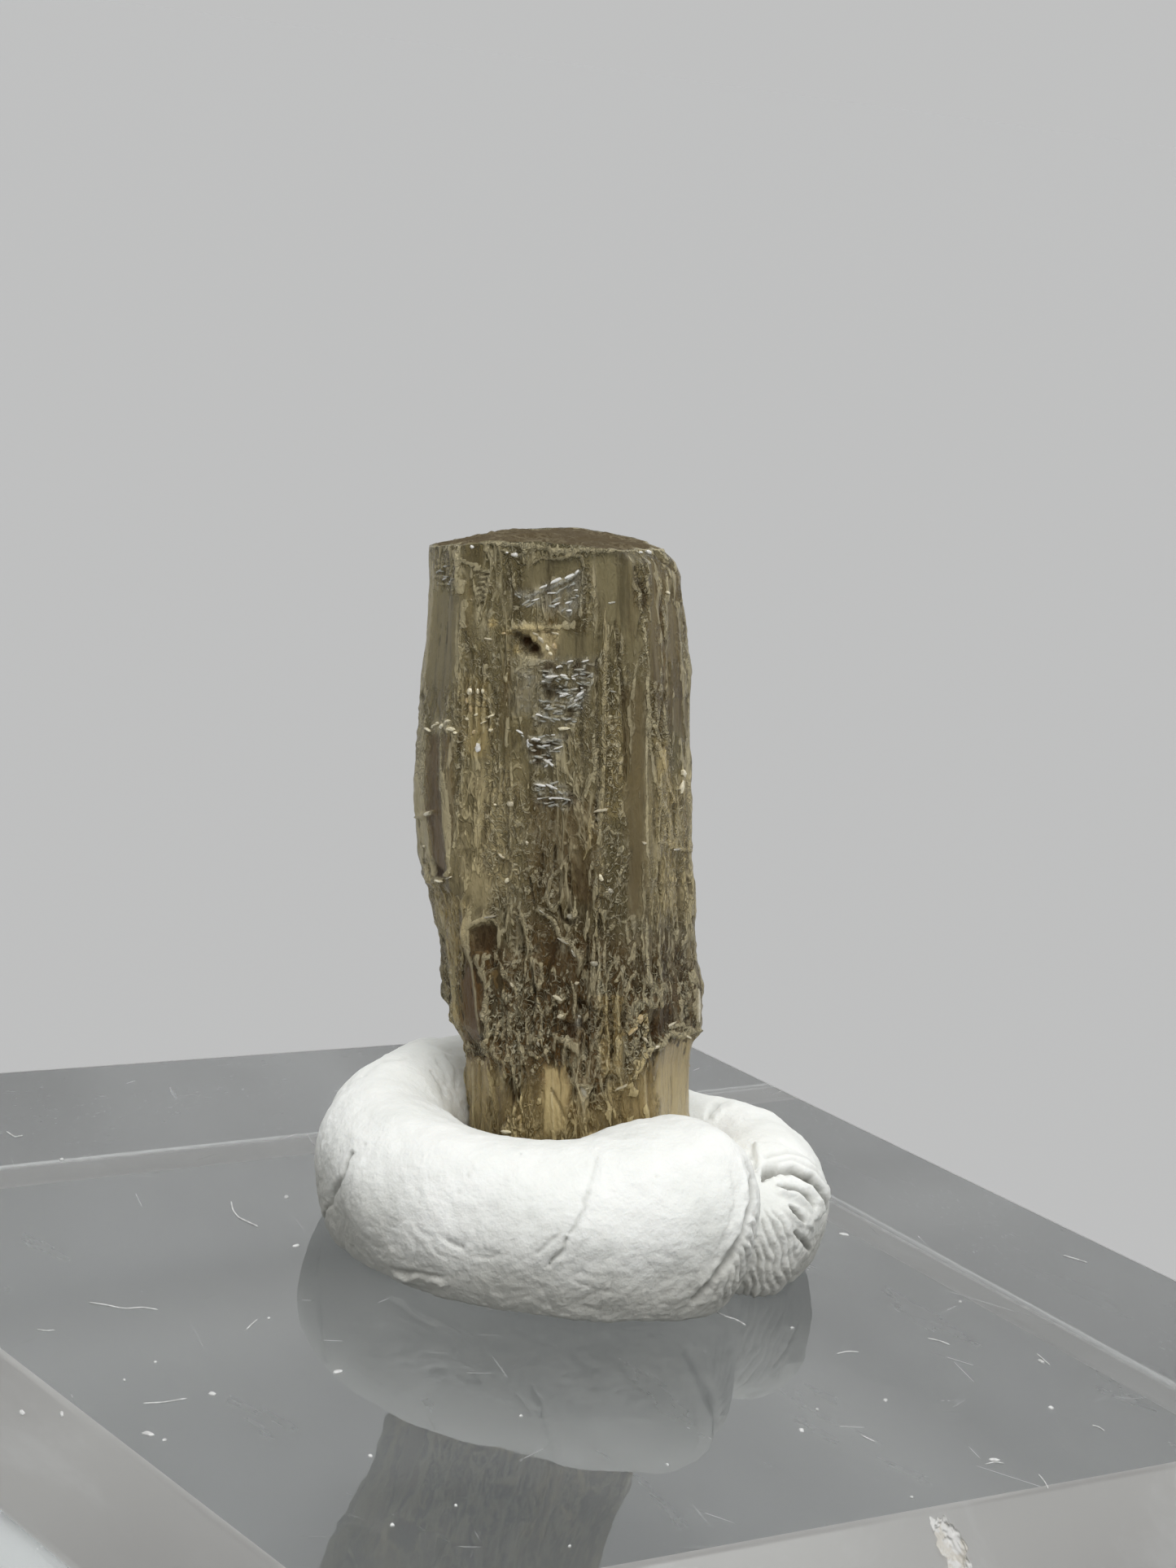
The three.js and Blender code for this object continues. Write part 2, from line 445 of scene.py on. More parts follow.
# The crystal's mesh: columns crowd to the front, and rows crowd at the height of the silvery ripples.
CRYSTAL_COLUMNS = 352
LOW_ROWS, LOW_PART = 12, 0.19
HIGH_ROWS, FINE_FROM, FINE_TO, FINE_CROWDING = 252, 0.58, 0.84, 1.3
CAP_RINGS, CAP_CROWDING = 16, 0.85
FRONT_CROWDING = 0.4
FOOT_GAP = 0.06

wave = TAU * np.arange(CRYSTAL_COLUMNS) / CRYSTAL_COLUMNS
ANGLES = wave - FRONT_CROWDING * np.sin(wave)
high_parts = np.linspace(LOW_PART, 1, 2000)
crowd = np.cumsum(np.where((high_parts > FINE_FROM) & (high_parts < FINE_TO), FINE_CROWDING, 1.0))
PARTS = np.concatenate([
    np.linspace(0, LOW_PART, LOW_ROWS, endpoint=False),
    np.interp(np.linspace(crowd[0], crowd[-1], HIGH_ROWS), crowd, high_parts),
])

# Colours of the stone and of the flakes on it.
BODY_HIGH, BODY_LOW = (0.455, 0.395, 0.205), (0.18, 0.122, 0.050)
# The darkest body colour serves dark streaks in the stone and painted shade in its hollows.
BODY_PALE, BODY_DARK_AND_SHADE = (0.66, 0.58, 0.34), (0.034, 0.022, 0.008)
# The foot's tan is paler than the stone itself: partly its own colour, partly painted light that lifts the
# putty ring's shadow.
FOOT_TAN_AND_PAINTED_LIGHT, TOP_FACE_SHADE = (0.76, 0.59, 0.285), (0.105, 0.080, 0.046)
RIM, RIM_GOLD, CURL = (0.64, 0.565, 0.36), (0.80, 0.63, 0.30), (0.80, 0.75, 0.56)
RUST, GOLD, CREAM = (0.50, 0.31, 0.10), (0.80, 0.60, 0.24), (0.90, 0.82, 0.58)
# The near-black recess colour here is painted shade in crevices, pits and dark windows.
BROWN, RECESS_SHADE, SILVER_SHEEN = (0.27, 0.130, 0.028), (0.040, 0.020, 0.007), (0.60, 0.61, 0.56)
# The flakes' white is painted glint and their silver-grey painted sheen.
GLINT_WHITE, SHEEN_GREY, FLAKE_GOLD = (0.93, 0.93, 0.90), (0.40, 0.41, 0.37), (0.52, 0.39, 0.19)
PALE_TAN, DULL_TAN, FLAKE_STAIN = (0.58, 0.52, 0.37), (0.33, 0.31, 0.24), (0.42, 0.34, 0.20)

bark, veins, drift, grit = (Noise(seed) for seed in (11, 12, 13, 14))

MASKS = ("ridge", "gold", "cream", "silver", "dark", "clear", "milky", "worn", "brown", "hollow_shade", "curly")

# What stands out on the side towards the camera, placed by pixels of the frame: across, down, for each point.
# Wherever a mark raises the dark mask, that darkness is painted shade in a crease, pit or window that sinks
# into the face.
LINES, AREAS, DOTS = [], [], []


def line(half_width, lift, *points, **marks):
    """A crease or ridge through points, with its lift in mm and the masks that it raises."""
    LINES.append((half_width, lift, marks, in_pairs(points)))


def area(soft, calm, lift, *outline, **marks):
    """A patch with soft edges: how far it calms the relief, its lift in mm and the masks that it raises."""
    AREAS.append((soft, calm, lift, marks, in_pairs(outline)))


def dot(across, down, width, height, lift, **marks):
    """A spot at a pixel, with its size in pixels, its lift in mm and the masks that it raises."""
    DOTS.append(((across, down), (width, height), lift, marks))


# the front edge of the broken top, and the chips under it
line(3.0, 0.07, 527,674, 546,667, 560,661, 594,665, 640,670, 655,672, 682,676, 708,675, 760,676, 815,675,
     829,682, ridge=1.0, cream=0.35)
line(2.6, 0.07, 545,664, 556,680, 572,690, 592,697, ridge=1.0)
line(2.2, 0.05, 577,692, 580,705, 583,725, 588,745, ridge=0.9)
line(2.6, 0.06, 598,668, 603,690, 601,715, 596,740, 587,770, ridge=0.9)
line(1.9, 0.05, 533,699, 541,694, 548,700, 557,698, ridge=0.9)
line(1.9, 0.05, 532,708, 543,709, 551,704, 559,709, ridge=0.9)
line(1.9, 0.04, 534,716, 546,718, 556,715, ridge=0.8)
line(2.4, 0.05, 617,675, 632,684, 646,679, ridge=0.9)
line(2.6, 0.06, 655,692, 666,686, 692,686, 706,681, 714,684, 717,696, ridge=0.9)
line(2.2, 0.05, 717,696, 715,730, 712,762, ridge=0.7)
# The next three lines are silvery streaks whose tone is painted reflection.
line(3.0, 0.08, 634,730, 648,733, 664,728, 690,716, 714,702, silver=0.9)
line(2.2, 0.05, 640,741, 652,744, 668,738, silver=0.6)
line(2.0, 0.04, 668,752, 684,742, 712,726, silver=0.4)
line(2.2, 0.09, 622,776, 636,771, 660,772, 692,770, cream=0.7)
line(2.4, -0.06, 636,777, 664,777, 684,775, dark=0.35)
line(2.0, 0.05, 599,784, 607,786, cream=0.6)
# ripples down the middle of the front face; their silvery tone is painted reflection
line(2.3, 0.07, 670,834, 684,830, 698,832, silver=0.8)
line(2.3, 0.07, 700,862, 712,856, 722,848, 728,838, silver=0.7)
line(2.3, 0.07, 654,880, 664,884, 684,880, 702,876, silver=0.7)
line(2.3, 0.07, 645,914, 656,908, 672,911, 690,907, silver=0.7)
line(2.3, 0.07, 652,936, 664,937, 680,941, silver=0.7)
line(2.2, 0.07, 655,964, 668,965, 680,970, 692,977, silver=0.7)
line(2.2, 0.06, 664,982, 680,981, 706,981, silver=0.6)
# creases and ridges that run down the faces
line(2.6, 0.1, 742,750, 741,820, 742,900, 738,1000, 737,1080, 732,1180, ridge=0.6, gold=0.3)
line(2.6, -0.14, 733,812, 734,880, 735,960, 731,1010, dark=0.45)
line(2.2, -0.1, 716,865, 714,900, 717,950, 712,985, dark=0.35)
line(2.6, -0.16, 756,765, 760,800, 768,850, 771,900, 770,960, dark=0.5)
line(2.8, -0.18, 781,698, 786,714, 794,736, 793,752, dark=0.7)
line(2.0, -0.12, 790,756, 787,770, 785,788, dark=0.5)
line(2.4, -0.16, 806,692, 809,709, 811,736, 809,761, dark=0.6)
line(2.2, -0.15, 811,769, 814,791, 814,824, 815,851, 809,890, 814,919, dark=0.6)
line(2.2, -0.13, 813,687, 822,695, 829,706, 830,720, 829,745, dark=0.55)
line(1.9, -0.1, 774,822, 775,837, 770,872, 771,892, dark=0.45)
line(2.0, 0.08, 777,712, 779,722, 786,728, 784,742, ridge=0.9)
line(1.9, 0.07, 802,690, 804,720, 806,765, ridge=0.8)
line(1.9, 0.07, 818,702, 817,740, 819,800, 820,860, ridge=0.8)
line(1.9, 0.07, 838,822, 841,832, 840,880, 843,905, ridge=0.8)
line(2.0, 0.07, 796,866, 802,885, 808,905, 814,914, ridge=0.9)
line(2.4, 0.09, 797,850, 800,900, 806,960, 818,1010, ridge=0.9)
line(2.2, 0.07, 824,700, 830,740, 836,800, 839,880, ridge=0.8)
line(2.0, -0.1, 829,705, 833,740, dark=0.4)
line(2.6, -0.12, 571,775, 573,800, 577,818, dark=0.4)
line(2.2, 0.06, 569,780, 562,830, 560,860, ridge=0.7)
line(2.2, -0.09, 619,790, 620,830, dark=0.35)
line(2.2, 0.08, 540,900, 542,960, 546,1010, 552,1070, ridge=0.9)
line(2.6, 0.13, 515,860, 513,920, 514,1000, 519,1060, 530,1084, ridge=1.0, cream=0.4)
# This line and the next two run down the edges of the silhouette: their pale tone is painted rim light.
line(4.0, 0.04, 520,862, 519,920, 520,1000, 525,1050, 533,1079, ridge=1.0, cream=0.42)
line(3.2, 0.04, 531,690, 530,740, 526,800, 520,850, ridge=1.0, cream=0.32)
line(3.0, 0.04, 844,760, 848,840, 849,930, 847,1000, 849,1044, 851,1120, ridge=0.9, cream=0.3)
line(2.8, 0.16, 522,1076, 530,1085, 541,1079, 554,1071, cream=0.35, ridge=1.0)
line(3.0, 0.13, 516,1005, 524,1001, 532,997, cream=0.4, ridge=0.7)
line(2.6, 0.08, 806,915, 814,940, 822,965, 836,990, ridge=0.9, gold=0.3)
line(3.0, 0.09, 820,1000, 826,1018, 832,1038, cream=0.35, ridge=0.6)
line(2.4, 0.08, 810,1034, 830,1042, 852,1046, ridge=0.9)
line(2.6, 0.09, 724,1000, 723,1030, 718,1055, gold=0.5, ridge=0.7)
# This line and the next three run down the edges of the silhouette: their pale tone is painted rim light.
line(2.8, 0.06, 835,684, 842,720, 848,790, 852,860, 853,930, 850,1000, 853,1044, ridge=1.0, cream=0.35)
line(2.6, 0.05, 527,680, 526,740, 521,810, 514,850, ridge=1.0, cream=0.35)
line(2.6, 0.06, 532,1088, 540,1130, 548,1165, 556,1200, 553,1240, 560,1270, ridge=1.0, cream=0.35)
line(2.6, 0.06, 853,1046, 854,1100, 859,1150, ridge=1.0, cream=0.35)
# the etched lower third
line(2.6, 0.11, 688,1066, 676,1082, 671,1105, 682,1120, 690,1100, 690,1068, ridge=1.0)
line(3.0, 0.14, 662,1118, 680,1130, 688,1150, 704,1163, 713,1180, 710,1198, ridge=1.0)
line(2.4, 0.09, 628,1118, 640,1128, 652,1122, ridge=0.8)
line(2.4, 0.09, 605,1044, 616,1050, 632,1062, 627,1082, ridge=0.9)
line(2.2, 0.08, 568,1075, 575,1090, 568,1110, 580,1122, ridge=0.7)
line(2.6, 0.1, 583,1135, 600,1127, 612,1140, 613,1165, ridge=0.9)
line(2.0, 0.09, 586,1176, 593,1205, ridge=0.9)
line(2.0, 0.09, 602,1168, 618,1192, 630,1206, 634,1228, ridge=0.9)
line(2.0, -0.22, 600,1181, 604,1190, dark=1.0)
line(2.4, 0.1, 540,1100, 545,1150, 553,1182, 557,1240, 563,1264, 572,1284, gold=0.5, ridge=0.8)
line(2.6, 0.12, 678,1268, 698,1284, 714,1297, ridge=1.0)
line(2.4, 0.1, 650,1292, 662,1300, 674,1290, ridge=0.9)
line(2.4, 0.12, 704,1306, 708,1330, 716,1354, 728,1336, 708,1331, cream=0.3, ridge=0.8)
line(2.2, 0.09, 716,1356, 715,1385, ridge=0.8)
line(2.2, 0.09, 752,1341, 762,1340, 774,1332, ridge=0.8, gold=0.4)
line(3.0, 0.14, 768,1272, 784,1256, 796,1249, 798,1262, 792,1286, 776,1324, gold=0.6, ridge=0.5)
line(2.4, 0.14, 787,1297, 808,1286, 824,1272, 852,1268, cream=0.5, ridge=0.9)
line(2.6, 0.15, 826,1263, 840,1259, 850,1268, 836,1275, 826,1270, cream=0.7, ridge=0.9)
line(2.6, 0.12, 857,1165, 860,1200, 860,1245, 856,1292, cream=0.35, ridge=0.9)
line(2.2, 0.08, 746,1226, 748,1280, 745,1320, gold=0.6)
line(2.2, 0.08, 758,1222, 760,1262, 757,1300, gold=0.6)
line(2.2, -0.12, 753,1230, 753,1310, dark=0.5)
line(1.8, -0.08, 677,1338, 684,1350, 693,1372, dark=0.35)
line(1.5, -0.06, 668,1316, 669,1350, 667,1388, dark=0.45)
line(1.5, -0.05, 687,1312, 688,1340, 690,1385, dark=0.3)
line(1.5, 0.04, 680,1312, 679,1345, 681,1386, cream=0.5)
line(1.6, -0.09, 586,1304, 587,1345, 586,1388, dark=0.5)
line(1.5, 0.04, 579,1304, 580,1345, 580,1388, cream=0.5)
line(1.8, -0.1, 627,1300, 629,1340, 626,1388, dark=0.55)
line(1.6, 0.05, 640,1316, 641,1350, 638,1388, gold=0.6)
line(1.7, -0.1, 784,1318, 783,1350, 786,1388, dark=0.6)
line(1.6, -0.09, 797,1312, 798,1345, 797,1388, dark=0.4)
line(1.5, 0.05, 791,1312, 791,1345, 792,1388, cream=0.6)
line(1.5, -0.04, 824,1322, 826,1350, 824,1388, dark=0.25)
line(1.8, -0.12, 768,1330, 766,1360, 769,1388, dark=0.6)
line(2.4, -0.12, 666,1050, 664,1075, 660,1100, dark=0.5)
line(2.0, -0.12, 651,1079, 653,1096, 655,1114, dark=0.6)
line(1.9, -0.12, 682,1040, 681,1055, 680,1068, dark=0.6)
line(1.9, -0.12, 692,1065, 690,1085, 687,1103, dark=0.6)
line(2.0, -0.13, 727,1070, 726,1100, 725,1127, dark=0.6)
line(2.0, -0.13, 734,1100, 735,1122, 737,1145, dark=0.6)
line(2.2, -0.14, 732,1152, 733,1175, 734,1196, dark=0.6)
line(2.0, -0.13, 722,1148, 723,1170, 724,1193, dark=0.6)
line(1.9, -0.12, 797,1100, 799,1118, 801,1136, dark=0.55)
line(1.9, -0.12, 810,1060, 811,1082, 812,1104, dark=0.55)
line(1.9, -0.12, 836,1052, 837,1075, 838,1098, dark=0.5)
line(1.9, -0.12, 846,1128, 850,1148, 853,1168, dark=0.5)
line(2.4, -0.16, 686,1112, 691,1130, 704,1134, 711,1124, dark=0.7)
line(2.0, -0.13, 653,1190, 654,1206, 656,1222, dark=0.6)
line(2.2, -0.14, 766,1232, 768,1248, 768,1264, dark=0.6)
line(2.4, -0.15, 712,1232, 714,1262, 715,1297, dark=0.7)
line(2.0, -0.13, 637,1120, 638,1150, 640,1176, dark=0.55)
line(2.0, -0.13, 620,1230, 622,1262, 621,1290, dark=0.55)
line(2.0, 0.08, 729,1150, 732,1178, 729,1222, ridge=0.9)
line(2.2, 0.09, 784,1192, 774,1203, 767,1222, ridge=0.9)
line(2.0, 0.08, 813,1192, 815,1213, 808,1238, ridge=0.9)
line(2.0, 0.08, 660,1225, 666,1250, 662,1282, ridge=0.9)
line(2.0, 0.08, 646,1130, 648,1165, 645,1200, ridge=0.8)
line(2.0, 0.08, 790,1060, 793,1100, 790,1140, 794,1180, ridge=0.8)
line(2.0, 0.08, 826,1066, 829,1110, 833,1150, ridge=0.8)
line(2.4, -0.12, 700,1060, 702,1100, 698,1130, dark=0.5)
line(2.4, -0.12, 650,1180, 656,1220, 652,1270, dark=0.45)
line(2.4, -0.14, 727,1220, 726,1262, 722,1300, dark=0.5)
line(2.2, -0.12, 600,1350, 600,1385, dark=0.5)
line(2.2, -0.12, 739,1010, 736,1080, 738,1150, dark=0.5)


def stria(across, top, foot, key, amount):
    """A fine upright line, with the mask that it raises."""
    line(1.4, -0.05 if key == "dark" else 0.05, across,top, across + 1.5,(2 * top + foot) / 3,
         across - 1.0,(top + 2 * foot) / 3, across + 1.0,foot, **{key: amount})


for i in range(8):
    stria(562 + 9.7 * i + 2.4 * (i * 3 % 4), 905 + 21 * (i * 5 % 4), 985 + 24 * (i * 3 % 5), "dark", 0.34)
for i in range(7):
    stria(566 + 10.3 * i + 2.1 * (i * 2 % 3), 925 + 22 * (i * 3 % 4), 1010 + 17 * (i * 2 % 5), "cream", 0.34)
for i in range(4):
    stria(569 + 9 * i, 838, 905, "dark", 0.42)
    stria(573.5 + 9 * i, 842, 900, "cream", 0.45)
    stria(806 + 13 * i, 930 + 24 * (i * 3 % 4), 1040 + 30 * (i * 2 % 4), "dark", 0.50)
    stria(810 + 12.5 * i, 950 + 22 * (i * 2 % 4), 1060 + 25 * (i * 3 % 4), "ridge", 0.80)
for i in range(3):
    stria(545 + 7 * i, 860 + 9 * i, 905 + 30 * i, "dark", 0.35)
# the ladder of short rungs near the top left
for i in range(6):
    left, right, down = 584 + 0.7 * i, 602 - 1.6 * i, 700 + 7.2 * i
    line(2.0, 0.08, left,down, right,down + 3.0, ridge=1.0, cream=0.5)
    line(1.7, -0.07, left,down + 3.6, right,down + 6.6, dark=0.4)

area(5, 0.85, 0.04, 560,668, 592,664, 598,676, 592,694, 572,688, clear=0.6)
area(7, 0.7, 0.0, 530,722, 574,730, 566,800, 552,850, 525,842, 524,780, clear=0.7, milky=0.8)
area(7, 0.8, -0.05, 662,690, 708,688, 712,700, 662,718, 642,724, 646,700, clear=0.8, milky=0.8)
area(7, 0.5, -0.08, 636,730, 716,704, 715,744, 700,762, 676,754, 650,748, silver=0.35)
area(8, 0.85, 0.0, 722,684, 784,684, 778,716, 786,760, 780,830, 762,780, 738,760, clear=0.8, milky=1.0)
area(6, 0.9, -0.03, 690,776, 728,778, 730,802, 692,806, 684,792, clear=0.8, milky=1.0)
area(6, 0.1, 0.03, 630,775, 690,772, 684,792, 680,812, 660,812, 638,800, cream=0.45, gold=0.7)
area(9, 0.8, 0.0, 636,828, 664,812, 668,862, 650,884, 632,872, silver=0.35, worn=0.4)
area(7, 0.3, 0.0, 664,812, 700,806, 734,808, 730,832, 718,850, 722,864, 704,884, 660,896, 664,860,
     silver=0.4, worn=1.0)
area(6, 0.3, 0.0, 642,904, 700,898, 690,926, 682,944, 652,938, silver=0.3, worn=1.0)
area(6, 0.3, 0.0, 654,958, 690,960, 712,984, 694,998, 662,990, silver=0.3, worn=1.0)
area(3, 0.8, -0.12, 530,1061, 541,1066, 549,1073, 534,1079, dark=0.9)
area(11, 0.72, -0.04, 770,850, 795,836, 798,960, 797,1130, 774,1130, 768,990, clear=0.85, milky=0.7)
area(5, 0.8, -0.08, 524,905, 537,905, 540,1000, 549,1074, 530,1074, 522,1000, clear=0.5, dark=0.22,
     brown=0.7)
area(5, 0.8, -0.05, 544,905, 556,905, 558,1000, 550,1050, 545,1000, clear=0.5, dark=0.15, brown=0.5)
area(8, 0.0, 0.0, 564,830, 600,838, 604,900, 598,940, 572,935, 562,890, gold=0.5)
area(26, 0.0, 0.0, 568,950, 632,940, 630,1080, 590,1130, 562,1080, gold=0.4, cream=0.24)
area(12, 0.0, 0.0, 528,1088, 580,1104, 576,1150, 562,1200, 566,1280, 545,1260, 545,1170, gold=0.6)
area(20, 0.0, 0.0, 800,960, 852,950, 852,1130, 806,1130, gold=0.45)
area(5, 0.0, 0.04, 527,893, 539,884, 549,887, 561,894, 556,903, 543,901, 534,898, cream=0.5)
area(7, 0.4, 0.0, 806,910, 824,912, 826,950, 836,985, 822,992, 808,950, gold=0.7)
area(8, 0.0, 0.0, 742,870, 768,880, 768,1000, 742,1010, gold=0.35)
area(6, 0.85, 0.02, 577,1062, 603,1066, 606,1108, 586,1114, 576,1092, clear=0.6, gold=0.3)
area(5, 0.8, -0.06, 706,1045, 724,1045, 722,1120, 712,1145, 704,1100, clear=0.85)
area(5, 0.9, -0.08, 580,1143, 592,1136, 608,1140, 611,1160, 602,1172, 586,1168, dark=0.78)
area(6, 0.9, -0.08, 562,1200, 584,1172, 592,1204, 590,1252, 582,1284, 572,1280, 557,1250, clear=0.5,
     dark=0.35, brown=1.0)
area(5, 0.8, -0.04, 598,1195, 612,1190, 622,1215, 606,1222, clear=0.6, gold=0.3)
area(5, 0.6, -0.15, 690,1258, 712,1262, 712,1284, 700,1280, dark=0.75)
area(5, 0.5, -0.14, 802,1240, 832,1236, 830,1258, 808,1280, 800,1272, dark=0.75)
area(5, 0.7, -0.1, 668,1155, 684,1152, 682,1188, 672,1192, dark=0.6, clear=0.4)
area(5, 0.8, 0.02, 668,1310, 696,1304, 700,1332, 698,1392, 668,1392, gold=0.75, cream=0.25, clear=0.8)
area(6, 0.6, 0.03, 796,1294, 804,1290, 808,1392, 768,1392, 782,1340, gold=0.34, brown=0.25, clear=0.4)
area(6, 0.95, 0.02, 804,1300, 824,1282, 860,1274, 862,1392, 806,1392, gold=0.6, cream=0.24, clear=0.9)
area(6, 0.85, 0.0, 573,1300, 597,1300, 599,1392, 573,1392, gold=0.45, cream=0.12, clear=0.6)
area(6, 0.5, 0.0, 735,1225, 768,1225, 766,1322, 738,1322, gold=0.5)
area(5, 0.8, -0.05, 604,1340, 624,1336, 622,1376, 606,1380, clear=0.8)
area(5, 0.8, 0.0, 764,728, 786,756, 786,800, 778,816, 766,790, clear=0.7, milky=0.8)
area(5, 0.8, 0.0, 797,694, 804,700, 806,760, 808,840, 798,840, 796,760, clear=0.7, milky=0.8)
area(5, 0.75, 0.0, 818,740, 835,745, 837,812, 821,815, clear=0.65, milky=0.8)
area(5, 0.75, 0.0, 823,855, 846,855, 847,905, 826,910, clear=0.65, milky=0.8)
# grainy stone, all short curls
area(6, 0.3, 0.0, 736,800, 768,815, 769,900, 768,1060, 738,1060, curly=1.0)
area(9, 0.2, 0.0, 590,985, 650,975, 655,1110, 600,1130, curly=0.9)
area(8, 0.2, 0.0, 722,1000, 772,1000, 775,1140, 728,1140, curly=0.9)
area(8, 0.1, 0.0, 805,960, 852,960, 852,1045, 805,1045, curly=0.7)
area(8, 0.1, 0.0, 604,680, 640,690, 630,770, 604,760, curly=0.6)
# browner stone
area(14, 0.0, 0.0, 792,690, 846,696, 850,900, 800,905, brown=0.35)
area(14, 0.0, 0.0, 744,1150, 800,1150, 862,1150, 858,1240, 790,1270, 744,1250, brown=0.4)
area(14, 0.0, 0.0, 560,1150, 640,1170, 632,1290, 650,1330, 604,1320, 560,1280, brown=0.75)
area(16, 0.0, 0.0, 640,1120, 744,1160, 760,1300, 720,1392, 640,1300, brown=0.65)
area(14, 0.0, 0.0, 744,1180, 800,1220, 860,1200, 856,1270, 790,1290, 744,1260, brown=0.55)
area(10, 0.0, 0.0, 770,850, 795,836, 798,960, 797,1130, 774,1130, 768,990, brown=0.3)
area(12, 0.0, 0.0, 650,980, 735,980, 735,1110, 650,1110, brown=0.45)

dot(643,789, 8,9, -0.32, dark=1.0)
dot(652,798, 8,7, -0.36, dark=1.0)
dot(634,780, 6,4, -0.14, dark=0.7)
dot(661,806, 5,3, -0.1, dark=0.6, gold=0.5)
dot(626,777, 7,3, 0.0, gold=0.9)
dot(648,778, 9,3, 0.04, gold=0.7)
dot(636,797, 4,6, 0.02, gold=0.7)
dot(606,766, 5,5, -0.05, gold=0.9)
dot(680,850, 10,9, -0.18, dark=0.5)
dot(693,848, 4,4, -0.14, dark=0.6)
dot(745,1098, 5,5, 0.08, ridge=0.8)
dot(705,1126, 7,4, 0.09, cream=0.35, ridge=0.8)
dot(754,1140, 4,4, 0.08, ridge=0.9)
dot(690,1226, 6,3.2, 0.09, cream=0.5, ridge=0.8)
dot(711,1258, 4,5, 0.08, silver=0.6, ridge=0.6)
